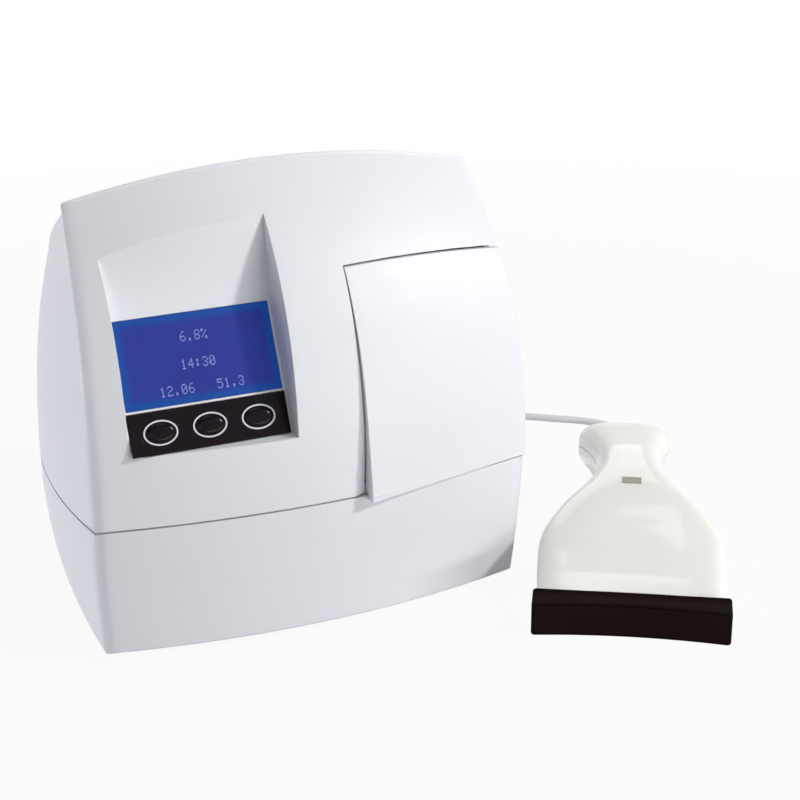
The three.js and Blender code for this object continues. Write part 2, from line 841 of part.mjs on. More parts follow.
function lidPins() {
  const left = hingeRod(pinRadius, -pinBite + seatGap, leftEar.to);
  const right = hingeRod(pinRadius, rightEar.from, hingeLength + caseWall - seatGap * 3);
  return [named('lid_pin_left', left, steel), named('lid_pin_right', right, steel)];
}

// The opening behind the lid
function lidOpening() {
  const left = (z) => lidLeft(z) - lidSideGap;
  const far = caseWidth / 2 + sideSwell + overrun;
  const place = (a, b, deep) => {
    const under = Math.min(mix(left(lidTopLeft), far, a), caseWidth / 2);
    const z = mix(seamHeight - overrun, lidTop(under) + lidTopGap, b);
    const x = mix(left(z), far, a);
    return point(x, frontDepth(Math.min(x, lidRight(z)), z) + deep, z);
  };
  const back = setIn(lidTopLeft, lidWall + lidBackGap);
  return solid(plate(lidColumns, lidRows,
    (a, b) => place(a, b, -caseWall * 4),
    (a, b) => place(a, b, back)));
}

// Distance from the hinge axis that the lid's top edge needs as it swings in
function swingReach(x) {
  const edge = point(x, frontDepth(x, lidTop(x)), lidTop(x));
  return edge.sub(hingeLeft).cross(hingeAxis).length() + hingeRelief;
}

function hingeRoom() {
  const profile = [new THREE.Vector2(0, 0)];
  for (let i = 0; i <= frontSteps; i += 1) {
    const share = i / frontSteps;
    profile.push(new THREE.Vector2(swingReach(mix(hingeLeft.x, hingeRight.x, share)), hingeLength * share));
  }
  profile.push(new THREE.Vector2(0, hingeLength));
  const room = new THREE.LatheGeometry(profile, footSteps).rotateZ(-Math.PI / 2);
  const reach = swingReach(lidLeftTop);
  const corner = solid(hingeRod(reach, -cornerRoom, seatGap, roundSteps));
  const behindSkin = box(-cornerRoom, seatGap, caseWall + seatGap - hingeInset, reach, 0, reach);
  return solid(onHinge(room)).add(corner.intersect(solid(onHinge(behindSkin))));
}

// The lid's top right end swings through this notch of the side wall, round the pin's boss
function sideNotch() {
  const reach = swingReach(lidRight(lidTopRight));
  const from = hingeLength - seatGap;
  const to = hingeLength + caseWall * 4;
  const sweep = solid(hingeRod(reach, from, to, roundSteps)).subtract(solid(hingeRod(earRadius, from, to)));
  return sweep.intersect(solid(onHinge(box(from, to, -reach * 2, notchDepth, 0, reach * 2))));
}

// A rib behind the skin along the opening's left edge, which holds the left pin
function jamb() {
  const place = (a, b, deep) => {
    const z = mix(lipTop + seatGap, lidTopLeft + jambDepth, b);
    const x = lidLeft(z) - lidSideGap - jambWidth * (1 - a);
    return point(x, frontDepth(x, z) + deep, z);
  };
  return solid(plate(2, lidRows, (a, b) => place(a, b, caseWall / 2), (a, b) => place(a, b, jambDepth)));
}

function fingerScoop() {
  const place = (a, b, deep) => {
    const z = mix(seamHeight - overrun, seamHeight + scoopHeight, b);
    const edge = lidLeft(z) - lidSideGap;
    const x = edge - scoopWidth * (1 - b) * (1 - a) + scoopTip * (a - 0.5);
    return point(x, frontDepth(x, z) + deep(a, b), z);
  };
  return solid(plate(4, linerColumns, (a, b) => place(a, b, () => -caseWall),
    (a, b) => place(a, b, (p, q) => scoopDepth * p * (1 - q) - scoopSkim)));
}

function casePosts() {
  const limit = solid(upperBody(seamHeight, caseWall / 2, frontSteps));
  let all = null;
  for (const { x, y, rib } of pillars) {
    const bottom = pillarTop + seatGap;
    const column = solid(post(postRadius, x, y, bottom, bottom + postHeight, footSteps));
    const web = box(0, rearCorner, -ribWall / 2, ribWall / 2, lipTop + seatGap, bottom + postHeight);
    const together = column.add(solid(web.rotateZ(rib).translate(x, y, 0))).intersect(limit);
    all = all ? all.add(together) : together;
  }
  return all;
}

function upperCasing() {
  const outer = solid(upperBody(seamHeight, 0, wallRings));
  const inner = solid(upperBody(seamHeight - overrun, caseWall, frontSteps));
  let shell = outer.subtract(inner);
  shell = shell.add(recessSolid(recessWall, recessSideWall).intersect(outer));
  shell = shell.add(jamb().intersect(outer)).add(casePosts());
  shell = shell.subtract(lidOpening()).subtract(hingeRoom()).subtract(sideNotch());
  shell = shell.subtract(recessSolid(0, 0)).subtract(fingerScoop());
  for (const cut of panelCuts()) {
    shell = shell.subtract(cut);
  }
  const holes = solid(hingeRod(pinRadius + seatGap, -pinBite, hingeLength + caseWall - seatGap * 2));
  shell = shell.subtract(holes);
  for (const { x, y } of pillars) {
    const pilot = post(screwRadius + seatGap, x, y, 0, pillarTop + screwBite + ribWall, smallSteps);
    shell = shell.subtract(solid(pilot));
  }
  return named('upper_casing', geometryOf(shell), shellWhite);
}

// Display, keys and their boards, drawn flat on the panel
function displayParts() {
  const group = new THREE.Group();
  group.position.set(recessCentre, panelFootY, panelFootZ);
  group.rotation.x = Math.PI / 2 - tilt;
  const window = box(-displayWidth / 2, displayWidth / 2, displayFoot, displayFoot + displayHeight,
    -panelSeat + seatGap, windowProud);
  group.add(named('display_window', window, { color: 0x2a3a9a, roughness: 0.1, metalness: 0 }));
  group.add(named('display_module', moduleBlock(0), { color: 0x2b2f6a, roughness: 0.5, metalness: 0 }));
  const sheet = new THREE.Shape();
  sheet.moveTo(-keyPanelWidth / 2, seatGap);
  sheet.lineTo(keyPanelWidth / 2, seatGap);
  sheet.lineTo(keyPanelWidth / 2, keyPanelHeight);
  sheet.lineTo(-keyPanelWidth / 2, keyPanelHeight);
  sheet.closePath();
  let panel = solid(extrudeUp(sheet, -panelSeat + seatGap, keyPanelProud));
  const middleY = keyPanelHeight / 2;
  const holeWidth = keyWidth + keyClearance * 2;
  const holeHeight = keyHeight + keyClearance * 2;
  const keys = [];
  const names = ['left', 'middle', 'right'];
  names.forEach((name, i) => {
    const x = keySpacing * (i - 1);
    const hole = extrudeUp(ellipsePath(holeWidth, holeHeight, new THREE.Shape()), -panelSeat * 2, overrun);
    const groove = extrudeUp(ellipsePath(holeWidth + ringWall * 2 + seatGap * 2,
      holeHeight + ringWall * 2 + seatGap * 2, new THREE.Shape()), keyPanelProud - ringSeat, overrun);
    for (const cut of [hole, groove]) {
      panel = panel.subtract(solid(cut.translate(x, middleY, 0)));
    }
    const ring = ellipsePath(holeWidth + ringWall * 2, holeHeight + ringWall * 2, new THREE.Shape());
    ring.holes.push(ellipsePath(holeWidth, holeHeight, new THREE.Path()));
    const trim = extrudeUp(ring, keyPanelProud - ringSeat + seatGap / 2, keyPanelProud + ringProud);
    group.add(named(`key_ring_${name}`, trim.translate(x, middleY, 0),
      { color: 0xd8dade, roughness: 0.25, metalness: 1 }));
    keys.push(named(`key_${name}`, keyBody().translate(x, middleY, 0), gloss));
  });
  group.add(named('key_panel', geometryOf(panel), gloss), ...keys);
  const board = box(-keyBoardWidth / 2, keyBoardWidth / 2, seatGap, displayFoot - seatGap * 3,
    boardFace - boardWall, boardFace);
  group.add(named('key_board', board, boardGreen));
  return group;
}

// A domed oval key with a flange under the panel, its travel above the key board
const boardFace = -recessWall - seatGap;

function keyBody() {
  const rings = [];
  const top = keyPanelProud + keyRise;
  const flangeTop = -panelSeat - keyFlangeGap;
  const flangeFoot = boardFace + seatGap + keyTravel;
  const levels = [
    [1 + keyFlange * 2 / keyHeight, flangeFoot],
    [1 + keyFlange * 2 / keyHeight, flangeTop],
    [1, flangeTop],
    [1, keyPanelProud],
    ...keyDomeShares.map(([scale, rise]) => [scale, mix(keyPanelProud, top, rise)]),
  ];
  for (const [scale, z] of levels) {
    const ring = [];
    for (let i = 0; i < ovalSteps * 2; i += 1) {
      const a = Math.PI * i / ovalSteps;
      ring.push(point(keyWidth / 2 * scale * Math.cos(a), keyHeight / 2 * scale * Math.sin(a), z));
    }
    rings.push(ring);
  }
  return loft(rings, undefined, point(0, 0, top));
}

// Chassis plate on the shoulders of the base's pillars
const chassisFloor = shoulderHeight + seatGap;
const chassisTop = chassisFloor + chassisWall;

function chassisPlate() {
  const inner = loft([ringAt(chassisFloor - overrun, caseWall + seatGap + lipWall * 2),
    ringAt(chassisTop + overrun, caseWall + seatGap + lipWall * 2)]);
  const chassisRear = caseDepth - chassisSetback;
  const blank = box(-caseWidth / 2, caseWidth / 2, chassisFront, chassisRear, chassisFloor, chassisTop);
  let plateBody = solid(blank).intersect(solid(inner));
  for (const { x, y } of pillars) {
    plateBody = plateBody.subtract(solid(post(pillarTopRadius + seatGap, x, y, 0, caseDepth, smallSteps)));
  }
  return named('chassis_plate', geometryOf(plateBody), { color: 0x9fa3a8, roughness: 0.4, metalness: 1 });
}

// Behind the front face, at a setback from it
function behindFront(setback, x0, x1, z0, z1) {
  const place = (a, b, y) => {
    const z = mix(z0, z1, b);
    const x = mix(x0, x1, a);
    return point(x, y ?? frontDepth(x, z) + setIn(z, setback), z);
  };
  return solid(plate(linerColumns, linerColumns, (a, b) => place(a, b), (a, b) => place(a, b, caseDepth)));
}

function chamberLiner() {
  const floor = chassisTop + seatGap;
  const outer = solid(box(linerLeft, linerRight, -caseDepth, linerRear, floor, linerTop));
  const bore = solid(box(linerLeft + linerWall, linerRight - linerWall, -caseDepth, linerRear - linerWall,
    floor + linerWall, linerTop - linerWall));
  const behind = behindFront(linerSetback, 0, caseWidth / 2, floor - overrun, linerTop + overrun);
  let liner = outer.intersect(behind).subtract(bore);
  const pinRoom = solid(hingeRod(earRadius + lidBackGap, -pinBite, hingeLength));
  liner = liner.subtract(hingeRoom()).subtract(pinRoom);
  const flangeTop = hingeRight.z - earRadius - lidBackGap;
  const flange = plate(4, linerColumns,
    (a, b) => flangePlace(a, b, linerSetback, floor, flangeTop),
    (a, b) => flangePlace(a, b, linerSetback + flangeWall, floor, flangeTop));
  liner = liner.add(solid(flange));
  const hole = journalRadius + seatGap;
  liner = liner.subtract(solid(axle(hole, linerLeft - overrun, linerRight + overrun, carrierY, carrierZ)));
  const wide = barrelRadius + seatGap;
  const window = new THREE.CylinderGeometry(wide, wide, linerWall * 4, roundSteps);
  liner = liner.subtract(solid(window.translate(carrierX, linerRear, carrierZ)));
  return named('chamber_liner', geometryOf(liner), innerGrey);
}

function flangePlace(a, b, setback, z0, z1) {
  const z = mix(z0, z1, b);
  const outside = halfWidth(z) - caseWall - lipWall - seatGap * 3;
  const x = mix(linerRight - linerWall, outside, a);
  return point(x, frontDepth(x, z) + setIn(z, setback), z);
}

// Spur gear drawn in the XY plane
function gearShape(teeth, bore) {
  const pitch = gearModule * teeth / 2;
  const outer = pitch + gearModule;
  const root = pitch - gearModule * rootShare;
  const step = Math.PI * 2 / teeth;
  const shape = new THREE.Shape();
  for (let i = 0; i < teeth; i += 1) {
    const play = gearBacklash / (2 * pitch);
    const corners = [
      [root, -rootHalfShare], [outer, -tipHalfShare],
      [outer, tipHalfShare], [root, rootHalfShare],
    ];
    corners.forEach(([radius, share], k) => {
      const a = step * (i + share) - Math.sign(share) * play;
      const x = radius * Math.cos(a);
      const y = radius * Math.sin(a);
      if (i === 0 && k === 0) {
        shape.moveTo(x, y);
      } else {
        shape.lineTo(x, y);
      }
    });
  }
  shape.closePath();
  if (bore > 0) {
    const hole = new THREE.Path();
    hole.absarc(0, 0, bore, 0, Math.PI * 2);
    shape.holes.push(hole);
  }
  return shape;
}

const gearX = linerLeft - gearWidth - seatGap * 4;
const motorAway = gearModule * (carrierTeeth + pinionTeeth) / 2;
const motorY = carrierY + motorAway;

// Turns a gear drawn flat so that it spins about X at a place
function gearAt(shape, y, z, turn) {
  const options = { depth: gearWidth, bevelEnabled: false, curveSegments: smallSteps / 2 };
  const geometry = new THREE.ExtrudeGeometry(shape, options);
  geometry.rotateZ(turn).rotateY(Math.PI / 2).rotateX(Math.PI / 2);
  return geometry.translate(gearX, y, z);
}

function carrierParts() {
  const x0 = carrierX - carrierLength / 2;
  const x1 = carrierX + carrierLength / 2;
  let drum = joined(axle(carrierRadius, x0, x1, carrierY, carrierZ, drumSteps),
    axle(journalRadius, gearX - seatGap * 2, linerRight + seatGap, carrierY, carrierZ));
  const slot = box(carrierX - slotWidth / 2, carrierX + slotWidth / 2, carrierY - carrierRadius - overrun,
    carrierY - carrierRadius + slotDepth, carrierZ - slotHeight / 2, carrierZ + slotHeight / 2);
  drum = drum.subtract(solid(slot));
  const flat = box(x0 - overrun, x1 + overrun, carrierY + journalRadius * 2, caseDepth,
    0, carrierZ - journalRadius * 2);
  drum = drum.subtract(solid(flat));
  const gear = gearAt(gearShape(carrierTeeth, journalRadius + seatGap), carrierY, carrierZ, 0);
  return [named('cartridge_carrier', geometryOf(drum), { color: 0xd9dbe0, roughness: 0.45, metalness: 0 }),
    named('carrier_gear', gear, { color: 0xe8e4d8, roughness: 0.5, metalness: 0 })];
}

function motorParts() {
  const faceX = gearX - seatGap * 3;
  const plateX = faceX - bracketWall;
  const halfWide = bracketWidth / 2;
  const upright = box(plateX, faceX, motorY - halfWide, motorY + halfWide,
    chassisTop + seatGap, carrierZ + motorRadius + bracketWall);
  const foot = box(plateX - bracketWidth / 2, faceX, motorY - halfWide, motorY + halfWide,
    chassisTop + seatGap, chassisTop + seatGap + bracketWall);
  let bracket = joined(upright, foot);
  const hole = axle(motorShaftRadius * 2, plateX - overrun, faceX + overrun, motorY, carrierZ);
  bracket = bracket.subtract(solid(hole));
  const body = axle(motorRadius, plateX - seatGap - motorLength, plateX - seatGap, motorY, carrierZ);
  const shaft = axle(motorShaftRadius, plateX - seatGap * 2, gearX - seatGap, motorY, carrierZ, smallSteps);
  const turn = Math.PI + Math.PI / pinionTeeth;
  const pinion = joined(gearAt(gearShape(pinionTeeth, 0), motorY, carrierZ, turn));
  return [named('motor_bracket', geometryOf(bracket), steel),
    named('carrier_motor', geometryOf(joined(body, shaft)),
      { color: 0x8d9095, roughness: 0.4, metalness: 1 }),
    named('motor_pinion', geometryOf(pinion), { color: 0xb99a55, roughness: 0.35, metalness: 1 })];
}

function opticsParts() {
  const y0 = linerRear + seatGap;
  const block = box(carrierX - opticsWidth / 2, carrierX + opticsWidth / 2, y0, y0 + opticsDepth,
    carrierZ - opticsHeight / 2, carrierZ + opticsHeight / 2);
  const barrel = new THREE.CylinderGeometry(barrelRadius, barrelRadius, linerWall + seatGap * 2, roundSteps);
  barrel.translate(carrierX, y0 - linerWall / 2, carrierZ);
  const seatRadius = lensRadius + seatGap;
  const seat = new THREE.CylinderGeometry(seatRadius, seatRadius, lensWall * 2, roundSteps);
  seat.translate(carrierX, y0 - linerWall - seatGap, carrierZ);
  const lens = new THREE.CylinderGeometry(lensRadius, lensRadius, lensWall - seatGap, roundSteps);
  lens.translate(carrierX, y0 - linerWall - seatGap + lensWall / 2, carrierZ);
  const leg = box(carrierX - opticsWidth / 4, carrierX + opticsWidth / 4,
    y0 + opticsDepth / 2, y0 + opticsDepth, chassisTop + seatGap, carrierZ);
  const body = joined(block, barrel, leg).subtract(solid(seat));
  return [named('optics_block', geometryOf(body), darkPlastic),
    named('optics_lens', lens, { color: 0xcfe0ea, roughness: 0.05, metalness: 0 })];
}

function mainBoard() {
  const board = box(-mainBoardWidth / 2, mainBoardWidth / 2, mainBoardFront,
    backWall - caseWall - mainBoardRearGap, mainBoardZ, mainBoardZ + boardWall);
  return named('main_board', board, boardGreen);
}

// Inlet, sockets and switch
function backParts() {
  const z0 = socketFloor;
  const face = backWall - seatGap;
  const jackBody = box(jackX - jackWidth / 2, jackX + jackWidth / 2, face - jackHeight, face,
    z0, z0 + jackHeight - seatGap);
  const along = (radius, x, y0, y1, z) => {
    const geometry = new THREE.CylinderGeometry(radius, radius, y1 - y0, smallSteps);
    return geometry.translate(x, (y0 + y1) / 2, z);
  };
  const jackZ = z0 + jackHeight / 2;
  const hole = along(jackHole, jackX, face - jackHeight * jackHoleShare, face + overrun, jackZ);
  const pin = along(jackPin, jackX, face - jackHeight * jackPinShare, face - caseWall, jackZ);
  const jack = solid(jackBody).subtract(solid(hole)).add(solid(pin));
  let usb = solid(box(usbX - usbWidth / 2, usbX + usbWidth / 2, face - socketDepth, face,
    z0, z0 + usbHeight - seatGap));
  usb = usb.subtract(solid(box(usbX - usbWidth / 2 + usbWall, usbX + usbWidth / 2 - usbWall,
    face - socketDepth * usbHoleShare, face + overrun, z0 + usbWall, z0 + usbHeight - seatGap - usbWall)));
  const [tongueFoot, tongueTop] = usbTongueShares.map((share) => z0 + usbHeight * share);
  usb = usb.add(solid(box(usbX - usbTongueWidth / 2, usbX + usbTongueWidth / 2,
    face - socketDepth * usbTongueShare, face - usbWall, tongueFoot, tongueTop)));
  let socket = solid(box(socketX - socketWidth / 2, socketX + socketWidth / 2, face - socketDepth, face,
    z0, z0 + socketHeight - seatGap));
  const socketHalf = socketWidth / 2 - socketWall;
  socket = socket.subtract(solid(box(socketX - socketHalf, socketX + socketHalf,
    face - socketDepth * socketHoleShare, face + overrun,
    z0 + socketWall, z0 + socketHeight - seatGap - socketWall)));
  return [named('power_inlet', geometryOf(jack), darkPlastic),
    named('data_socket', geometryOf(usb), { color: 0xc3c6ca, roughness: 0.3, metalness: 1 }),
    named('scanner_socket', geometryOf(socket), darkPlastic),
    ...switchParts()];
}

function switchParts() {
  const outerX = rockerWidth / 2 + bezelWall - seatGap / 2;
  const outerZ = rockerHeight / 2 + bezelWall - seatGap / 2;
  const face = backWall + bezelLip;
  const frame = joined(
    box(rockerX - outerX, rockerX + outerX, backWall - rockerDepth, face,
      rockerZ - outerZ, rockerZ + outerZ),
    box(rockerX - outerX - bezelLip, rockerX + outerX + bezelLip, backWall + seatGap, face,
      rockerZ - outerZ - bezelLip, rockerZ + outerZ + bezelLip));
  const well = box(rockerX - rockerWidth / 2, rockerX + rockerWidth / 2, backWall - rockerDepth + bezelWall,
    face + overrun, rockerZ - rockerHeight / 2, rockerZ + rockerHeight / 2);
  const bezel = frame.subtract(solid(well));
  const pivotY = backWall - rockerDepth / 2;
  const reach = rockerHeight / 2 - rockerRelief;
  const rise = face + bezelLip - pivotY;
  const profile = new THREE.Shape();
  profile.moveTo(-reach, rise * rockerShoulderShare);
  profile.lineTo(-reach, rise);
  profile.quadraticCurveTo(0, rise * rockerDipShare, reach, rise);
  profile.lineTo(reach, rise * rockerShoulderShare);
  profile.lineTo(bezelWall, -rise * rockerKeelShare);
  profile.lineTo(-bezelWall, -rise * rockerKeelShare);
  profile.closePath();
  const wide = rockerWidth / 2 - seatGap;
  const turned = new THREE.Matrix4().makeBasis(point(0, 0, 1), point(0, 1, 0), point(-1, 0, 0));
  const flat = extrudeUp(profile, -wide, wide, smallSteps).applyMatrix4(turned);
  flat.rotateX(radians(rockerAngle)).translate(rockerX, pivotY, rockerZ);
  return [named('switch_bezel', geometryOf(bezel), darkPlastic), named('power_rocker', flat, darkPlastic)];
}

// Hand scanner, drawn with its mouth at Y = 0 and its handle along +Y
const stationShares = [0, 0.14, 0.23, 0.31, 0.4, 0.48, 0.55, 0.62, 0.7, 0.78, 0.86, 0.93, 0.975, 1];
const widthShares = [0.98, 1, 1.01, 0.98, 0.78, 0.52, 0.38, 0.36, 0.42, 0.5, 0.53, 0.4, 0.27, 0.13];
const topShares = [0.3, 0.42, 0.53, 0.65, 0.79, 0.89, 0.95, 0.995, 0.99, 0.97, 0.89, 0.73, 0.56, 0.37];
const bottomShares = [0, 0.05, 0.13, 0.26, 0.38, 0.46, 0.53, 0.57, 0.58, 0.53, 0.4, 0.18, 0, 0.03];

function alongScanner(shares, station) {
  const x = THREE.MathUtils.clamp(station / scannerLength, 0, 1);
  let k = 0;
  while (k < stationShares.length - 2 && x > stationShares[k + 1]) {
    k += 1;
  }
  const t = (x - stationShares[k]) / (stationShares[k + 1] - stationShares[k]);
  const before = shares[Math.max(0, k - 1)];
  const after = shares[Math.min(shares.length - 1, k + 2)];
  const [a, b] = [shares[k], shares[k + 1]];
  const smooth = 0.5 * ((2 * a) + (b - before) * t + (2 * before - 5 * a + 4 * b - after) * t * t
    + (3 * a - before - 3 * b + after) * t ** 3);
  return smooth;
}

const scannerHalf = (y) => mouthWidth / 2 * alongScanner(widthShares, y);
const scannerTop = (y) => archHeight * alongScanner(topShares, y);
const scannerBottom = (y) => Math.max(tableGap, archHeight * alongScanner(bottomShares, y));
const scannerMiddle = (y) => -scannerBend * (y / scannerLength) ** 2;
const scannerParting = (y) => mix(scannerBottom(y), scannerTop(y), partingShare);

// A rounded section of the housing above or below its parting line
function scannerSection(y, inset, upward, floor) {
  const half = scannerHalf(y) - inset;
  const parting = scannerParting(y);
  const reach = (upward ? scannerTop(y) - inset : scannerBottom(y) + inset) - parting;
  const flat = parting + (upward ? floor : -floor);
  const ring = [];
  for (let i = 0; i <= sectionSteps; i += 1) {
    const a = Math.PI * i / sectionSteps;
    const c = Math.cos(a);
    const s = Math.sin(a);
    const rise = reach * Math.abs(s) ** sectionPower;
    const z = upward ? Math.max(flat, parting + rise) : Math.min(flat, parting + rise);
    ring.push(point(scannerMiddle(y) + half * Math.sign(c) * Math.abs(c) ** sectionPower, y, z));
  }
  ring[0].z = flat;
  ring[sectionSteps].z = flat;
  return ring;
}

function scannerShell(name, upward) {
  const start = noseLength + seatGap;
  const rings = [];
  const inner = [];
  for (let i = 0; i <= stationSteps; i += 1) {
    const y = mix(start, scannerLength, 1 - (1 - i / stationSteps) ** endCrowding);
    rings.push(scannerSection(y, 0, upward, seatGap / 2));
  }
  for (let i = 0; i <= sectionSteps; i += 1) {
    const y = mix(start - overrun, scannerLength - shellWall * 4, i / sectionSteps);
    inner.push(scannerSection(y, shellWall, upward, -shellWall));
  }
  let shell = solid(loft(rings)).subtract(solid(loft(inner)));
  if (upward) {
    shell = shell.subtract(solid(lampSeat()));
  } else {
    const z = scannerBottom(triggerStation);
    shell = shell.subtract(solid(triggerBlock(seatGap, z - archHeight, z + shellWall * 2 + triggerTravel)));
  }
  return named(name, geometryOf(shell), { color: 0xeeede6, roughness: 0.15, metalness: 0 });
}

const lampRiseThere = scannerTop(lampStation + lampLength) - scannerTop(lampStation - lampLength);
const lampTilt = Math.atan2(lampRiseThere, lampLength * 2);

function lampPlace(geometry) {
  const height = scannerTop(lampStation);
  return geometry.rotateX(lampTilt).translate(scannerMiddle(lampStation), lampStation, height);
}

function lampSeat() {
  const half = lampWidth / 2 + seatGap;
  const reach = lampLength / 2 + seatGap;
  return lampPlace(box(-half, half, -reach, reach, -lampDepth, overrun));
}

function scannerNose() {
  const rings = [];
  for (const y of [0, noseLength]) {
    const ring = [];
    const half = mouthWidth / 2 + noseOverlap;
    const corner = noseHollow;
    const turns = [[1, 1], [-1, 1], [-1, -1], [1, -1]];
    turns.forEach(([sx, sz], q) => {
      for (let k = 0; k <= cornerSteps; k += 1) {
        const a = Math.PI / 2 * (q + k / cornerSteps);
        ring.push(point(sx * (half - corner) + corner * Math.cos(a), y,
          noseHeight / 2 + sz * (noseHeight / 2 - corner) + corner * Math.sin(a)));
      }
    });
    rings.push(ring);
  }
  const chord = mouthWidth / 2 + noseOverlap;
  const bow = (chord * chord + noseHollow * noseHollow) / (2 * noseHollow);
  const hollow = post(bow, 0, noseHollow - bow, -overrun, noseHeight + overrun, roundSteps * 8);
  const half = noseMouthWidth / 2;
  const middle = noseHeight / 2;
  const mouth = box(-half, half, -overrun, noseLength + overrun,
    middle - noseMouthHeight / 2, middle + noseMouthHeight / 2);
  const nose = solid(loft(rings)).subtract(solid(hollow)).subtract(solid(mouth));
  const wide = half - seatGap;
  const tall = noseMouthHeight / 2 - seatGap;
  const y = scanWindowSetback;
  const pane = box(-wide, wide, y, y + scanWindowWall, middle - tall, middle + tall);
  return [named('scanner_nose', geometryOf(nose), { color: 0x1b1311, roughness: 0.45, metalness: 0 }),
    named('scanner_window', pane, { color: 0x4a0d10, roughness: 0.05, metalness: 0 })];
}

// A block with round ends under the neck
function triggerBlock(grow, z0, z1) {
  const radius = triggerWidth / 2 + grow;
  const reach = (triggerLength - triggerWidth) / 2;
  const shape = new THREE.Shape();
  shape.absarc(0, reach, radius, 0, Math.PI);
  shape.absarc(0, -reach, radius, Math.PI, Math.PI * 2);
  const block = extrudeUp(shape, z0, z1, smallSteps / 2);
  return block.translate(scannerMiddle(triggerStation), triggerStation, 0);
}

function scannerTrigger() {
  const z = scannerBottom(triggerStation);
  const button = triggerBlock(0, z - triggerProud, z + shellWall * 2);
  return named('scanner_trigger', button, { color: 0x8f9297, roughness: 0.5, metalness: 0 });
}

function scannerParts() {
  const lamp = lampPlace(box(-lampWidth / 2, lampWidth / 2, -lampLength / 2, lampLength / 2,
    -lampDepth + seatGap, lampRise));
  const boardHalf = mouthWidth / 2 * scannerBoardShare;
  const board = box(-boardHalf, boardHalf, noseLength + seatGap * 2, scannerBoardReach,
    scannerBoardRise, scannerBoardRise + boardWall);
  const relief = new THREE.CylinderGeometry(reliefEndRadius, reliefRadius, reliefLength, smallSteps);
  relief.translate(scannerMiddle(scannerLength), scannerLength + seatGap + reliefLength / 2, tailHeight);
  return [scannerShell('scanner_top_shell', true), scannerShell('scanner_bottom_shell', false),
    ...scannerNose(), scannerTrigger(),
    named('scanner_lamp', lamp, { color: 0xb8ae9a, roughness: 0.3, metalness: 0 }),
    named('scanner_board', board, boardGreen),
    named('scanner_strain_relief', relief, { color: 0xd5d6d8, roughness: 0.6, metalness: 0 })];
}

// Cord: from the scanner's strain relief to the coil behind the casing, and on to the plug
const scannerAxis = point(-Math.sin(radians(scannerTurn)), Math.cos(radians(scannerTurn)), 0);
const scannerAcross = point(Math.cos(radians(scannerTurn)), Math.sin(radians(scannerTurn)), 0);
const cordStart = point(scannerX, scannerY, tailHeight)
  .addScaledVector(scannerAxis, scannerLength + reliefLength + seatGap * 2)
  .addScaledVector(scannerAcross, scannerMiddle(scannerLength));
const cordZ = cordRadius + tableGap;
const coilX = socketX + coilOuterRadius;
const socketMiddle = socketFloor + (socketHeight - seatGap) / 2;
const plugEnd = backWall + plugLength + plugReliefLength;

// Two layers: in along the table, up in half a turn, and out again, with a straight stretch at each end
class CoilCurve extends THREE.Curve {
  constructor() {
    super();
    this.total = coilLayerTurns * 2 + coilClimbTurns;
    this.tip = cordRadius / (Math.PI * coilOuterRadius);
  }

  wound(turns) {
    const down = Math.min(turns, coilLayerTurns);
    const up = Math.max(0, turns - coilLayerTurns - coilClimbTurns);
    const climb = THREE.MathUtils.clamp((turns - coilLayerTurns) / coilClimbTurns, 0, 1);
    const tuck = coilPitch * coilClimbTurns * climb * (1 - climb);
    const radius = coilOuterRadius - coilPitch * (down - up) - tuck;
    const angle = Math.PI / 2 + Math.PI * 2 * turns;
    const height = cordZ + coilLayerRise * climb;
    return point(coilX + radius * Math.cos(angle), coilY + radius * Math.sin(angle), height);
  }

  getPoint(t) {
    const turns = mix(-this.tip, this.total + this.tip, t);
    const inside = THREE.MathUtils.clamp(turns, 0, this.total);
    const step = this.tip / coilSteps * (inside < this.total / 2 ? 1 : -1);
    const place = this.wound(inside);
    const beyond = (inside - turns) / step;
    return place.addScaledVector(this.wound(inside + step).sub(this.wound(inside)), -beyond);
  }
}

// The least gap between the coil's own turns, measured on points of its middle line
function coilLeastGap(coil) {
  const places = [];
  const count = Math.round(coil.total * coilSteps);
  for (let i = 0; i <= count; i += 1) {
    places.push(coil.getPoint(i / count));
  }
  let least = Infinity;
  for (let i = 0; i <= count; i += 1) {
    for (let k = i + coilSteps / 2; k <= count; k += 1) {
      least = Math.min(least, places[i].distanceTo(places[k]));
    }
  }
  return least - cordRadius * 2;
}

function cordTube(curve, steps, sides) {
  const section = new THREE.Shape();
  for (let i = 0; i < sides; i += 1) {
    const a = Math.PI * 2 * (i + 0.5) / sides;
    if (i === 0) {
      section.moveTo(cordRadius * Math.cos(a), cordRadius * Math.sin(a));
    } else {
      section.lineTo(cordRadius * Math.cos(a), cordRadius * Math.sin(a));
    }
  }
  section.closePath();
  return new THREE.ExtrudeGeometry(section, { steps, bevelEnabled: false, extrudePath: curve });
}

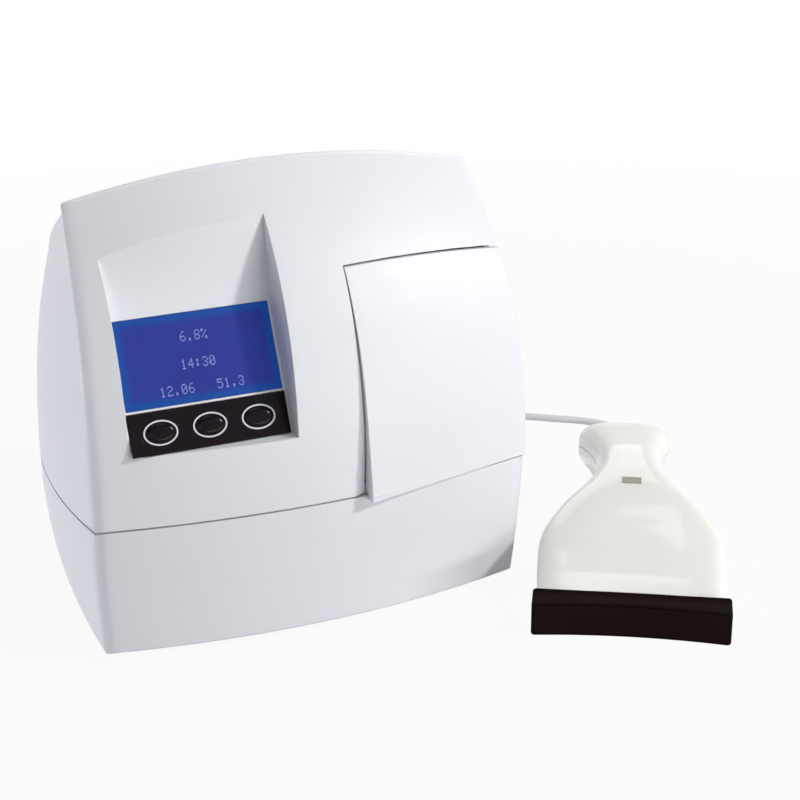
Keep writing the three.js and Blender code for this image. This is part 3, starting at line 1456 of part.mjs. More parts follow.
function cordParts() {
  const coil = new CoilCurve();
  coil.arcLengthDivisions = coilSteps * 40;
  const coilSegments = Math.round(coil.total * coilSteps);
  console.log(`least gap of the cord's coil to itself: ${coilLeastGap(coil).toFixed(2)} mm`);
  const before = (place, heading, away) => place.clone().addScaledVector(heading, -away);
  const coilStart = coil.getPoint(0);
  const coilHeading = coil.getTangent(0);
  const leadPoints = [
    cordStart,
    point(214, 96, 8),
    point(226, 114, 3.2),
    point(236, 131, cordZ),
    point(238, 147, cordZ),
    point(230, 158, cordZ),
    point(217, 168, cordZ),
    point(204, 178, cordZ),
    point(186, 191, cordZ),
    point(160, 206, cordZ),
    point(130, 217, cordZ),
    before(coilStart, coilHeading, cordRadius * 6),
    before(coilStart, coilHeading, seatGap),
  ];
  const lead = new THREE.CatmullRomCurve3(leadPoints, false, 'centripetal');
  const tailPoints = [
    before(coil.getPoint(1), coil.getTangent(1), -seatGap),
    before(coil.getPoint(1), coil.getTangent(1), -cordRadius * 2),
    point(44.5, 171, 12),
    point(socketX, plugEnd + 9, socketMiddle - 0.6),
    point(socketX, plugEnd + 4, socketMiddle),
    point(socketX, plugEnd + seatGap, socketMiddle),
  ];
  const tail = new THREE.CatmullRomCurve3(tailPoints, false, 'centripetal');
  const look = { color: 0xd9dadb, roughness: 0.5, metalness: 0 };
  return [named('cord_lead', cordTube(lead, 32, 8), look),
    named('cord_coil', cordTube(coil, coilSegments, 6), look),
    named('cord_tail', cordTube(tail, 8, 8), look),
    cordPlug()];
}

function cordPlug() {
  const wide = socketWidth / 2 - socketWall - plugGap;
  const z0 = socketFloor + socketWall + plugGap;
  const z1 = socketFloor + socketHeight - seatGap - socketWall - plugGap;
  const face = backWall - seatGap;
  const nose = box(socketX - wide, socketX + wide,
    face - socketDepth * plugNoseShare, backWall + seatGap * 2, z0, z1);
  const grip = box(socketX - socketWidth / 2, socketX + socketWidth / 2,
    backWall + seatGap, backWall + plugLength,
    socketMiddle - socketHeight / 2, socketMiddle + socketHeight / 2);
  const long = plugReliefLength + plugGap;
  const relief = new THREE.CylinderGeometry(reliefEndRadius, reliefRadius, long, smallSteps);
  relief.translate(socketX, backWall + plugLength + (plugReliefLength - plugGap) / 2, socketMiddle);
  return named('cord_plug', geometryOf(joined(nose, grip, relief)), darkPlastic);
}

// The assembly: the analyzer, the scanner beside it and the cord, on one table
const analyzer = new THREE.Group();
analyzer.add(baseTray(), upperCasing(), lid(), ...lidPins(), ...feet(), ...caseScrews(), displayParts());
analyzer.add(chassisPlate(), chamberLiner(), ...carrierParts(), ...motorParts(), ...opticsParts());
analyzer.add(mainBoard(), ...backParts());

const scanner = new THREE.Group();
scanner.position.set(scannerX, scannerY, 0);
scanner.rotation.z = radians(scannerTurn);
scanner.add(...scannerParts());

const cord = new THREE.Group();
cord.add(...cordParts());

// The origin is the middle of the footprint of the analyzer and its scanner
const model = new THREE.Group();
model.add(analyzer, scanner);
model.updateMatrixWorld(true);
const footprint = new THREE.Box3().setFromObject(model, true);
model.add(cord);
model.position.set(-(footprint.min.x + footprint.max.x) / 2, -(footprint.min.y + footprint.max.y) / 2, 0);

const assembly = new THREE.Group();
assembly.name = 'glycated_hemoglobin_analyzer';
assembly.add(model);

export default assembly;
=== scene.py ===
"""Looks of the glycated hemoglobin analyzer and its hand scanner: smooth skins, cord, display,
materials, light and camera."""
import json
import math

import bpy
import numpy as np
from mathutils import Euler, Matrix, Vector
from mathutils.bvhtree import BVHTree

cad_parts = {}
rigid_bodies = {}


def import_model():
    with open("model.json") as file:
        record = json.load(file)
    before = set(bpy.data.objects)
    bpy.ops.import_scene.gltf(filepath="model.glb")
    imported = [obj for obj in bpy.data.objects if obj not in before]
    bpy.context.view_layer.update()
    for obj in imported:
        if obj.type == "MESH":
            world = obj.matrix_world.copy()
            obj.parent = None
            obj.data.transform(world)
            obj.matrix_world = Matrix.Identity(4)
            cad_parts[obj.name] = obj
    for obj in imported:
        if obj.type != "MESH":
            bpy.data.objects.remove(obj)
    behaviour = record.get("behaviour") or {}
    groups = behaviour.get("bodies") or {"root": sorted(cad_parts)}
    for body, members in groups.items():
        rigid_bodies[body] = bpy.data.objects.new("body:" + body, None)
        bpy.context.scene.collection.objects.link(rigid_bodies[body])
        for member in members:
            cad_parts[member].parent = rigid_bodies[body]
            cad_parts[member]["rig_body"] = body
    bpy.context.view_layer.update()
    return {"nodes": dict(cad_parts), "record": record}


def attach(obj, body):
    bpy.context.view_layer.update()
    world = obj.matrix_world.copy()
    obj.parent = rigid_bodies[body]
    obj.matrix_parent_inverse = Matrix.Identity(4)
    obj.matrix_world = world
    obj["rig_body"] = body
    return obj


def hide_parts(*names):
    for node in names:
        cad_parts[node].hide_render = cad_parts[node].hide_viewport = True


# Metres in a millimetre, and the least number that anything is divided by
MM, TINY = 0.001, 1e-30

# Sizes of the CAD model that the smooth skins follow, in millimetres
CASE_WIDTH, CASE_DEPTH, FOOT_HEIGHT = 205, 135, 2.5
SEAM_HEIGHT, CORNER_HEIGHT, CROWN_HEIGHT = 63.3, 193.9, 205.5
LEAN_LOW, LEAN_MIDDLE, LEAN_HIGH = 8.2, 2.4, 40.5
SEAM_SWELL, TOP_SWELL, FOOT_SWELL = 11.8, 19, 12.4
CORNER_GAIN, CORNER_TAPER, FOOT_TUCK, FOOT_TAPER = 0.8, 8.3, 4.8, 2.9
SIDE_SWELL, SIDE_SWELL_TOP, SIDE_SWELL_FOOT = 6.9, 0.5, 2
REAR_TAPER, REAR_TAPER_TOP, REAR_TAPER_FOOT = 9.9, 21, 11.5
REAR_CORNER, REAR_LEAN = 30, 18
ROOF_FALL, ROOF_DROP, ROOF_ARCH, CREST_DEPTH = 23, 21, 10.3, 45
FRONT_EDGE_ROUND, REAR_EDGE_ROUND, FOOT_EDGE = 1.5, 14, 1
RECESS_CENTRE, RECESS_WIDTH, RECESS_HOOD = -49.8, 72.6, 60
PANEL_TILT, PANEL_FOOT_Y, PANEL_FOOT_Z = 24.6, -3.7, 95.3
HOOD_LEFT, HOOD_RIGHT = 19.5, 7.2
DISPLAY_WIDTH, DISPLAY_HEIGHT, DISPLAY_FOOT, WINDOW_PROUD = 70, 38, 20, 0.3
LID_LEFT_TOP, LID_LEFT_FOOT, LID_TOP_LEFT, LID_TOP_RIGHT = 16.9, 18.5, 162.3, 157.2
LID_FOOT, LID_WALL, LID_PROUD, LID_PULL, LID_HANG, LID_ARCH = 63.6, 2.4, 1, 4.5, 2.6, 1.9
SCANNER_X, SCANNER_Y, SCANNER_TURN, SCANNER_LENGTH = 115.9, -77.6, -32, 174
MOUTH_WIDTH, ARCH_HEIGHT, SCANNER_BEND, SECTION_POWER = 86, 51, 8, 0.625
PARTING_SHARE, TABLE_GAP, NOSE_LENGTH = 0.42, 0.05, 12.3
STATION_SHARES = [0, 0.14, 0.23, 0.31, 0.4, 0.48, 0.55, 0.62, 0.7, 0.78, 0.86, 0.93, 0.975, 1]
WIDTH_SHARES = [0.98, 1, 1.01, 0.98, 0.78, 0.52, 0.38, 0.36, 0.42, 0.5, 0.53, 0.4, 0.27, 0.13]
TOP_SHARES = [0.3, 0.42, 0.53, 0.65, 0.79, 0.89, 0.95, 0.995, 0.99, 0.97, 0.89, 0.73, 0.56, 0.37]
BOTTOM_SHARES = [0, 0.05, 0.13, 0.26, 0.38, 0.46, 0.53, 0.57, 0.58, 0.53, 0.4, 0.18, 0, 0.03]
RELIEF_LENGTH, TAIL_HEIGHT, SEAT_GAP = 16, 9, 0.3
CORD_RADIUS, COIL_RADIUS, COIL_PITCH, COIL_RISE = 2, 32, 4.8, 4.6
COIL_TURNS, CLIMB_TURNS, COIL_X, COIL_Y = 3.875, 0.5, 76, 190
COIL_STRAIGHT, COIL_LEAD = 4.3, 16
PLUG_END, SOCKET_X, SOCKET_MIDDLE = 148.2, 44, 20.75
FRONT_FOOT = (74, 14)

# Keys and their rings on the tilted panel, both slimmer than the CAD model's
KEY_WIDTH, KEY_HEIGHT, KEY_SPACING, KEY_MIDDLE, KEY_FOOT, KEY_TOP = 13.3, 8.8, 22, 9.2, 0.5, 1.9
KEY_SINK, FLANGE_SINK, KEY_OVERLAP, FLANGE_SHARE, DOME_POWER = 2.6, 1.6, 0.1, 1.14, 0.55
RING_OUTSIDE, RING_INSIDE, RING_FOOT, RING_TOP, GROOVE = (15.3, 10.8), (13.9, 9.4), 0.1, 0.75, (17.4, 13.2)
KEY_STEPS, DOME_ROWS, RING_STEPS = 64, 12, 96

# Places that the cord passes on its way to the coil and from it to the plug
LEAD_DROP = [(214, 96, 8), (226, 114, 3.2)]
LEAD_PLACES = [(236, 131), (238, 147), (230, 158), (217, 168), (204, 178), (186, 191), (160, 206), (130, 217)]
TAIL_RISE, PLUG_RUN, PLUG_STRAIGHT, PLUG_SAG = (44.5, 171, 12), 9, 4, 0.6
LEAD_STEP, TAIL_STEP, WINDING_STEPS, TURN_STEP, CORD_ROUNDING = 5, 4, 340, 0.001, 5

# Camera that the photograph's outline fits
CAMERA_AZIMUTH, CAMERA_ELEVATION, CAMERA_DISTANCE, CAMERA_LENS = 25.24, 20.9, 861.41, 87.37
CAMERA_TARGET, SENSOR_WIDTH, CLIP_START, CLIP_END = (39.45, 0, 100.42), 36, 0.05, 20

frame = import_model()
nodes = frame["nodes"]
stand = next(m for m in frame["record"]["mounts"] if m["name"] == "stand_front_right")
shift = Vector((stand["pos_m"][0] - FRONT_FOOT[0] * MM, stand["pos_m"][1] - FRONT_FOOT[1] * MM, 0))


def row(x, y, z):
    """A place in the analyzer's own millimetres, in the row frame's metres."""
    return Vector((x, y, z)) * MM + shift


# Camera
azimuth, elevation = math.radians(CAMERA_AZIMUTH), math.radians(CAMERA_ELEVATION)
forward = Vector((math.sin(azimuth) * math.cos(elevation), math.cos(azimuth) * math.cos(elevation),
                  -math.sin(elevation)))
camera = bpy.data.objects.new("camera", bpy.data.cameras.new("camera"))
bpy.context.scene.collection.objects.link(camera)
camera.location = row(*CAMERA_TARGET) - forward * CAMERA_DISTANCE * MM
camera.rotation_euler = forward.to_track_quat("-Z", "Y").to_euler()
camera.data.lens = CAMERA_LENS
camera.data.sensor_width = SENSOR_WIDTH
camera.data.clip_start, camera.data.clip_end = CLIP_START, CLIP_END
bpy.context.scene.camera = camera


# Material nodes
def linear(hex_colour):
    """A written sRGB colour as the linear numbers that a shader takes."""
    parts = [int(hex_colour[i:i + 2], 16) / 255 for i in (0, 2, 4)]
    return tuple(c / 12.92 if c <= 0.04045 else ((c + 0.055) / 1.055) ** 2.4 for c in parts) + (1,)


class Finish:
    """One procedural material: a Principled shader with helpers that add the detail to it."""

    def __init__(self, name, colour, roughness, **sockets):
        self.material = bpy.data.materials.new(name)
        self.material.use_nodes = True
        self.tree = self.material.node_tree
        self.shader = self.tree.nodes["Principled BSDF"]
        self.place = self.add("TexCoord").outputs["Object"]
        self.colour, self.normal = linear(colour), None
        self.shader.inputs["Base Color"].default_value = self.colour
        self.shader.inputs["Roughness"].default_value = roughness
        for socket, value in sockets.items():
            self.shader.inputs[socket.replace("_", " ")].default_value = value

    def add(self, kind, **settings):
        node = self.tree.nodes.new("ShaderNode" + kind)
        for key, value in settings.items():
            setattr(node, key, value)
        return node

    def link(self, out, into):
        self.tree.links.new(out, into)

    def noise(self, scale, detail=3, stretch=None):
        """Noise over the piece, whose scale is in features per metre."""
        place = self.place
        if stretch:
            mapping = self.add("Mapping")
            mapping.inputs["Scale"].default_value = stretch
            self.link(place, mapping.inputs["Vector"])
            place = mapping.outputs["Vector"]
        node = self.add("TexNoise")
        node.inputs["Scale"].default_value = scale
        node.inputs["Detail"].default_value = detail
        self.link(place, node.inputs["Vector"])
        return node.outputs["Fac"]

    def ranged(self, value, low, high, from_low=0.35, from_high=0.65):
        node = self.add("MapRange")
        limits = {"From Min": from_low, "From Max": from_high, "To Min": low, "To Max": high}
        for key, number in limits.items():
            node.inputs[key].default_value = number
        self.link(value, node.inputs["Value"])
        return node.outputs["Result"]

    def blend(self, share, first, second):
        """Mixes two colours, each a written colour or the output of a node."""
        node = self.add("Mix", data_type="RGBA")
        self.link(share, node.inputs["Factor"])
        for socket, value in ((node.inputs[6], first), (node.inputs[7], second)):
            if isinstance(value, (str, tuple)):
                socket.default_value = linear(value) if isinstance(value, str) else value
            else:
                self.link(value, socket)
        return node.outputs[2]

    def mottle(self, scale, depth, tone=None):
        """Slow variation of the colour, from a little darker to the colour as written."""
        dark = linear(tone) if tone else tuple(c * (1 - depth) for c in self.colour[:3]) + (1,)
        share = self.ranged(self.noise(scale), 0, 1)
        self.link(self.blend(share, dark, self.colour), self.shader.inputs["Base Color"])
        return self

    def gloss(self, scale, low, high, stretch=None):
        self.link(self.ranged(self.noise(scale, stretch=stretch), low, high), self.shader.inputs["Roughness"])
        return self

    def soft_edges(self, radius):
        """Rounds the shading over an edge by the small radius that a moulding has."""
        node = self.add("Bevel", samples=6)
        node.inputs["Radius"].default_value = radius * MM
        self.normal = node.outputs["Normal"]
        return self

    def grain(self, scale, strength, stretch=None, depth=0.1):
        node = self.add("Bump")
        node.inputs["Strength"].default_value = strength
        node.inputs["Distance"].default_value = depth * MM
        self.link(self.noise(scale, 2, stretch), node.inputs["Height"])
        if self.normal:
            self.link(self.normal, node.inputs["Normal"])
        self.normal = node.outputs["Normal"]
        return self

    def done(self):
        if self.normal:
            self.link(self.normal, self.shader.inputs["Normal"])
        return self.material


# Width of the display's brighter margin, from its edge to where it starts and where it is full
MARGIN_START, MARGIN_FULL = 4.2, 1.6


def display_finish():
    """Backlit blue field with a brighter margin round it, laid out on the tilted panel."""
    made = Finish("display_backlit", "2a3796", 0.4, Specular_IOR_Level=0.15, Emission_Strength=0.48)
    turn = Euler((-(math.pi / 2 - math.radians(PANEL_TILT)), 0, 0))
    foot = row(RECESS_CENTRE, PANEL_FOOT_Y, PANEL_FOOT_Z)
    mapping = made.add("Mapping")
    mapping.inputs["Rotation"].default_value = turn
    mapping.inputs["Location"].default_value = -(turn.to_matrix() @ foot)
    made.link(made.place, mapping.inputs["Vector"])
    apart = made.add("SeparateXYZ")
    made.link(mapping.outputs["Vector"], apart.inputs["Vector"])
    middle = DISPLAY_FOOT + DISPLAY_HEIGHT / 2
    edges = []
    for axis, centre, half in (("X", 0, DISPLAY_WIDTH / 2), ("Y", middle, DISPLAY_HEIGHT / 2)):
        offset = made.add("Math", operation="SUBTRACT")
        made.link(apart.outputs[axis], offset.inputs[0])
        offset.inputs[1].default_value = centre * MM
        away = made.add("Math", operation="ABSOLUTE")
        made.link(offset.outputs[0], away.inputs[0])
        start, full = (half - MARGIN_START) * MM, (half - MARGIN_FULL) * MM
        edges.append(made.ranged(away.outputs[0], 0, 1, start, full))
    margin = made.add("Math", operation="MAXIMUM")
    made.link(edges[0], margin.inputs[0])
    made.link(edges[1], margin.inputs[1])
    cells = made.ranged(made.noise(45), 0, 1)
    for socket, first, second, rim_colour in (("Base Color", "1a2469", "1c286d", "0c3473"),
                                              ("Emission Color", "283590", "2b3a96", "154a9e")):
        field = made.blend(cells, first, second)
        made.link(made.blend(margin.outputs[0], field, rim_colour), made.shader.inputs[socket])
    return made.grain(2600, 0.03).done()


def board_finish():
    """Solder mask with paler tracks under it."""
    made = Finish("circuit_board", "1c5a37", 0.38, Coat_Weight=0.3)
    tracks = made.add("TexBrick")
    for key, value in (("Scale", 90), ("Mortar Size", 0.03), ("Brick Width", 0.8), ("Row Height", 0.22)):
        tracks.inputs[key].default_value = value
    tracks.inputs["Color1"].default_value = linear("1b5736")
    tracks.inputs["Color2"].default_value = linear("1f6340")
    tracks.inputs["Mortar"].default_value = linear("3f8a5c")
    made.link(made.place, tracks.inputs["Vector"])
    made.link(tracks.outputs["Color"], made.shader.inputs["Base Color"])
    return made.grain(900, 0.15).done()


finishes = {
    "casing_white": Finish("casing_white", "e7e8ed", 0.47, Specular_IOR_Level=0.45)
    .mottle(18, 0.015).gloss(140, 0.44, 0.5).soft_edges(0.5).grain(2300, 0.10).done(),
    "inner_grey": Finish("inner_grey", "3c3e44", 0.6).mottle(40, 0.05).gloss(200, 0.52, 0.66)
    .soft_edges(0.4).grain(1500, 0.15).done(),
    "display_blue": display_finish(),
    "key_black": Finish("key_black", "1a1017", 0.2, Specular_IOR_Level=0.1)
    .mottle(60, 0.25).gloss(260, 0.12, 0.2).soft_edges(0.3).grain(1800, 0.03).done(),
    "bright_trim": Finish("bright_trim", "dcdce4", 0.3, Specular_IOR_Level=0.6).mottle(300, 0.04)
    .soft_edges(0.15).grain(3000, 0.05).done(),
    "dark_plastic": Finish("dark_plastic", "201e21", 0.46).mottle(80, 0.15).gloss(300, 0.4, 0.52)
    .soft_edges(0.3).grain(1700, 0.2).done(),
    "steel": Finish("steel", "b9bcc2", 0.3, Metallic=1.0).mottle(120, 0.06)
    .gloss(220, 0.24, 0.38, (1, 8, 1)).grain(900, 0.1, (1, 12, 1)).done(),
    "brass": Finish("brass", "c39a52", 0.3, Metallic=1.0).mottle(150, 0.1).gloss(300, 0.24, 0.36)
    .grain(1200, 0.08).done(),
    "gear_white": Finish("gear_white", "e8e6dd", 0.4, Subsurface_Weight=0.05).mottle(90, 0.03)
    .gloss(200, 0.36, 0.46).grain(1500, 0.08).done(),
    "board_green": board_finish(),
    "rubber_grey": Finish("rubber_grey", "5d6066", 0.8).mottle(200, 0.12).gloss(300, 0.72, 0.88)
    .soft_edges(0.4).grain(1300, 0.35).done(),
    "lens_clear": Finish("lens_clear", "e6eef2", 0.04, Transmission_Weight=0.9, IOR=1.5)
    .mottle(60, 0.02).gloss(80, 0.03, 0.06).done(),
    "scanner_white": Finish("scanner_white", "f0efe9", 0.3, Coat_Weight=0.7, Coat_Roughness=0.06)
    .mottle(25, 0.004).gloss(90, 0.29, 0.31).soft_edges(0.35).grain(2600, 0.005).done(),
    "nose_black": Finish("nose_black", "1e1410", 0.65, Specular_IOR_Level=0.03)
    .mottle(60, 0.15, "1a110d").gloss(240, 0.6, 0.7).soft_edges(0.6).grain(1600, 0.15).done(),
    "scan_red": Finish("scan_red", "1c110d", 0.5, Specular_IOR_Level=0.03).mottle(40, 0.1)
    .gloss(60, 0.46, 0.54).done(),
    "lamp_beige": Finish("lamp_beige", "a9a296", 0.3).mottle(500, 0.12).gloss(300, 0.25, 0.36)
    .soft_edges(0.2).grain(2200, 0.08).done(),
    "cord_grey": Finish("cord_grey", "dcdddf", 0.45).mottle(120, 0.03).gloss(200, 0.4, 0.5)
    .grain(1400, 0.12).done(),
}
figures_finish = Finish("display_marks", "7d89c8", 0.4, Emission_Color=linear("707cc4"),
                        Emission_Strength=0.25).mottle(900, 0.12).done()
slots = {part["node"]: part["material_slot"] for part in frame["record"]["subparts"]}


def linked(obj, slot, body):
    """Puts a new piece into the scene with its finish, on its body."""
    if not obj.users_collection:
        bpy.context.scene.collection.objects.link(obj)
    obj.data.materials.clear()
    obj.data.materials.append(finishes[slot])
    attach(obj, body)
    return obj


# Cord: out of the scanner's strain relief, into its coil behind the casing, and on to the plug
scanner_turn = math.radians(SCANNER_TURN)
scanner_place = Matrix.Translation(row(SCANNER_X, SCANNER_Y, 0)) @ Matrix.Rotation(scanner_turn, 4, "Z")
cord_height = CORD_RADIUS + TABLE_GAP


def on_scanner(x, y, z):
    """A place in the scanner's own millimetres, X across it and Y from its nose to its tail."""
    return scanner_place @ (Vector((x, y, z)) * MM)


def wound(turns):
    """A place on the coil's middle line: in along the table, up in half a turn, and out again."""
    down = min(turns, COIL_TURNS)
    up = max(0, turns - COIL_TURNS - CLIMB_TURNS)
    climb = min(1, max(0, (turns - COIL_TURNS) / CLIMB_TURNS))
    tuck = COIL_PITCH * CLIMB_TURNS * climb * (1 - climb)
    radius = COIL_RADIUS - COIL_PITCH * (down - up) - tuck
    angle = math.pi / 2 + math.tau * turns
    return Vector((COIL_X + radius * math.cos(angle), COIL_Y + radius * math.sin(angle),
                   cord_height + COIL_RISE * climb))


def beside(turns, step, distance):
    """A place on the straight stretch beyond an end of the coil."""
    heading = (wound(turns + step) - wound(turns)).normalized() * math.copysign(1, step)
    return wound(turns) + heading * distance


def smooth_route(points, step):
    """Points a step apart along a centripetal Catmull-Rom line through the given ones."""
    ends = [points[0] * 2 - points[1], *points, points[-1] * 2 - points[-2]]
    made = [points[0]]
    for p0, p1, p2, p3 in zip(ends, ends[1:], ends[2:], ends[3:]):
        a, b, c = (max(TINY, (q - p).length) ** 0.5 for p, q in ((p0, p1), (p1, p2), (p2, p3)))
        start = ((p1 - p0) / a - (p2 - p0) / (a + b) + (p2 - p1) / b) * b
        stop = ((p2 - p1) / b - (p3 - p1) / (b + c) + (p3 - p2) / c) * b
        count = max(1, round((p2 - p1).length / step))
        for i in range(1, count + 1):
            t = i / count
            made.append(p1 * (2 * t ** 3 - 3 * t * t + 1) + start * (t ** 3 - 2 * t * t + t)
                        + p2 * (3 * t * t - 2 * t ** 3) + stop * (t ** 3 - t * t))
    return made


relief_end = SCANNER_LENGTH + RELIEF_LENGTH + 2 * SEAT_GAP
cord_exit = (on_scanner(-SCANNER_BEND, relief_end, TAIL_HEIGHT) - shift) / MM
coil_total = COIL_TURNS * 2 + CLIMB_TURNS
lead = [cord_exit, *(Vector(p) for p in LEAD_DROP), *(Vector((x, y, cord_height)) for x, y in LEAD_PLACES)]
lead += [beside(0, TURN_STEP, -COIL_LEAD), beside(0, TURN_STEP, -COIL_STRAIGHT)]
winding = [wound(coil_total * i / WINDING_STEPS) for i in range(WINDING_STEPS + 1)]
tail = [beside(coil_total, -TURN_STEP, COIL_STRAIGHT), beside(coil_total, -TURN_STEP, COIL_STRAIGHT * 2),
        Vector(TAIL_RISE), Vector((SOCKET_X, PLUG_END + PLUG_RUN, SOCKET_MIDDLE - PLUG_SAG)),
        Vector((SOCKET_X, PLUG_END + PLUG_STRAIGHT, SOCKET_MIDDLE)),
        Vector((SOCKET_X, PLUG_END + SEAT_GAP, SOCKET_MIDDLE))]
route = [row(*p) for p in [*smooth_route(lead, LEAD_STEP), *winding, *smooth_route(tail, TAIL_STEP)]]
flex = bpy.data.curves.new("cord_flex", "CURVE")
flex.dimensions = "3D"
flex.bevel_depth = CORD_RADIUS * MM
flex.bevel_resolution = CORD_ROUNDING
flex.use_fill_caps = True
spline = flex.splines.new("POLY")
spline.points.add(len(route) - 1)
for knot, place in zip(spline.points, route):
    knot.co = (*place, 1)
cord = linked(bpy.data.objects.new("cord_flex", flex), "cord_grey", "casing")
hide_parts("cord_lead", "cord_coil", "cord_tail")


# Smooth surfaces that the CAD model's facets stand for
def unit(vectors):
    """The same vectors, one in each line, at a length of 1."""
    return vectors / np.maximum(np.linalg.norm(vectors, axis=1, keepdims=True), TINY)


def grid_faces(columns, rows):
    """Triangles of a grid whose points run along its rows first."""
    faces = []
    for i in range(columns):
        for j in range(rows):
            a = i * (rows + 1) + j
            faces += [(a, a + rows + 1, a + 1), (a + 1, a + rows + 1, a + rows + 2)]
    return faces


class Surface:
    """Smooth grids to lay faces on, with normals that point away from the given middle."""

    def __init__(self, grids, middle):
        points, faces = [], []
        for columns, rows, place in grids:
            faces += [tuple(len(points) + k for k in face) for face in grid_faces(columns, rows)]
            points += [place(i / columns, j / rows) for i in range(columns + 1) for j in range(rows + 1)]
        self.points, self.faces = np.array(points), np.array(faces)
        self.normals = np.zeros_like(self.points)
        a, b, c = (self.points[self.faces[:, k]] for k in range(3))
        flat = np.cross(b - a, c - a)
        out = (a + b + c) / 3 - np.array(middle)
        flat[(flat * out).sum(1) < 0] *= -1
        for k in range(3):
            np.add.at(self.normals, self.faces[:, k], flat)
        self.tree = BVHTree.FromPolygons([Vector(p) for p in self.points], self.faces.tolist())

    def nearest(self, places):
        """The nearest places on the surface, their smooth normals and how far they are."""
        found = [self.tree.find_nearest(Vector(p)) for p in places]
        on = np.array([f[0] for f in found])
        corner = self.faces[[f[2] for f in found]]
        a, b, c = (self.points[corner[:, k]] for k in range(3))
        ab, ac, ap = b - a, c - a, on - a
        d00, d01, d11 = (ab * ab).sum(1), (ab * ac).sum(1), (ac * ac).sum(1)
        d20, d21 = (ap * ab).sum(1), (ap * ac).sum(1)
        size = np.maximum(d00 * d11 - d01 * d01, TINY)
        v, w = (d11 * d20 - d01 * d21) / size, (d00 * d21 - d01 * d20) / size
        share = np.clip(np.stack([1 - v - w, v, w], 1), 0, 1)
        normal = sum(share[:, k:k + 1] * self.normals[corner[:, k]] for k in range(3))
        return on, unit(normal), np.array([f[3] for f in found])


def rise_share(z):
    return np.maximum(0, (z - SEAM_HEIGHT) / (CORNER_HEIGHT - SEAM_HEIGHT))


def sink_share(z):
    return np.maximum(0, (SEAM_HEIGHT - z) / (SEAM_HEIGHT - FOOT_HEIGHT))


def half_width(z):
    u, w = rise_share(z), sink_share(z)
    return CASE_WIDTH / 2 + CORNER_GAIN * u - CORNER_TAPER * u * u - FOOT_TAPER * w * w


def front_depth(x, z):
    u, w = rise_share(z), sink_share(z)
    crease = LEAN_LOW * u + LEAN_MIDDLE * u * u + LEAN_HIGH * u ** 3 + FOOT_TUCK * w
    swell = SEAM_SWELL + (TOP_SWELL - SEAM_SWELL) * u + (FOOT_SWELL - SEAM_SWELL) * w
    return crease - swell * (1 - (x / half_width(z)) ** 2)


def rear_depth(z):
    return CASE_DEPTH - SEAM_SWELL - REAR_LEAN * rise_share(z) ** 2


def roof_height(x, y):
    share = (y - CREST_DEPTH) / (CASE_DEPTH - SEAM_SWELL - CREST_DEPTH)
    fall = ROOF_FALL * share + ROOF_DROP * share * share
    return CROWN_HEIGHT - fall - ROOF_ARCH * (x / half_width(CORNER_HEIGHT)) ** 2


# The outline's columns: its front half, its side, its rear corner and half of its rear
FRONT, SIDE, CORNER, REAR = 20, 16, 12, 3
COLUMNS = FRONT + SIDE + CORNER + REAR

# How many times the rear corner's turn and the rim's height are worked out anew
CORNER_PASSES, RIM_PASSES = 5, 12


def outline(column, z):
    """x and y of the casing's outline at one of its columns and a height."""
    if column <= FRONT:
        x = half_width(z) * column / FRONT
        return x, front_depth(x, z)
    u, w = rise_share(z), sink_share(z)
    half = half_width(z)
    swell = SIDE_SWELL + (SIDE_SWELL_TOP - SIDE_SWELL) * u * u + (SIDE_SWELL_FOOT - SIDE_SWELL) * w * w
    taper = REAR_TAPER + (REAR_TAPER_TOP - REAR_TAPER) * u ** 4 + (REAR_TAPER_FOOT - REAR_TAPER) * w * w
    start, rear = front_depth(half, z), rear_depth(z)
    run = rear - start
    turn = 1 - REAR_CORNER / run
    for _ in range(CORNER_PASSES):
        angle = np.arctan((taper - 4 * swell * (1 - 2 * turn)) / run)
        turn = 1 - REAR_CORNER * (1 - np.sin(angle)) / run

    def side(share):
        return half + 4 * swell * share * (1 - share) - taper * share

    column -= FRONT
    if column <= SIDE:
        share = turn * column / SIDE
        return side(share), start + run * share
    column -= SIDE
    centre = side(turn) - REAR_CORNER * np.cos(angle)
    if column <= CORNER:
        a = angle + (math.pi / 2 - angle) * column / CORNER
        return centre + REAR_CORNER * np.cos(a), rear - REAR_CORNER + REAR_CORNER * np.sin(a)
    return centre * (1 - (column - CORNER) / REAR), rear


def edge_round(column):
    share = min(1, max(0, (column - FRONT) / SIDE))
    return FRONT_EDGE_ROUND + (REAR_EDGE_ROUND - FRONT_EDGE_ROUND) * share * share * (3 - 2 * share)


# Rows and columns of the grids, and the places that their normals point away from
WALL_ROWS, ROUND_ROWS, ROOF_ROWS, BASE_ROWS, LID_FOOT_ROWS = 44, 8, 18, 20, 3
HOOD_GRID, LID_GRID, HOUSING_GRID, SKIN_OVERRUN = (24, 12), (40, 44), (56, 90), 1.5
UPPER_HEART, BASE_HEART = (0, CASE_DEPTH / 2, 110), (0, CASE_DEPTH / 2, 30)
HOOD_HEART, LID_HEART, HOUSING_HEART = (RECESS_CENTRE, 200, 150), (60, 60, 110), (-4, 100, 28)
rims = {}


def rim(column):
    if column not in rims:
        z = CORNER_HEIGHT
        for _ in range(RIM_PASSES):
            x, y = outline(column, z)
            z = roof_height(x, y) - edge_round(column)
        rims[column] = z
    return rims[column]


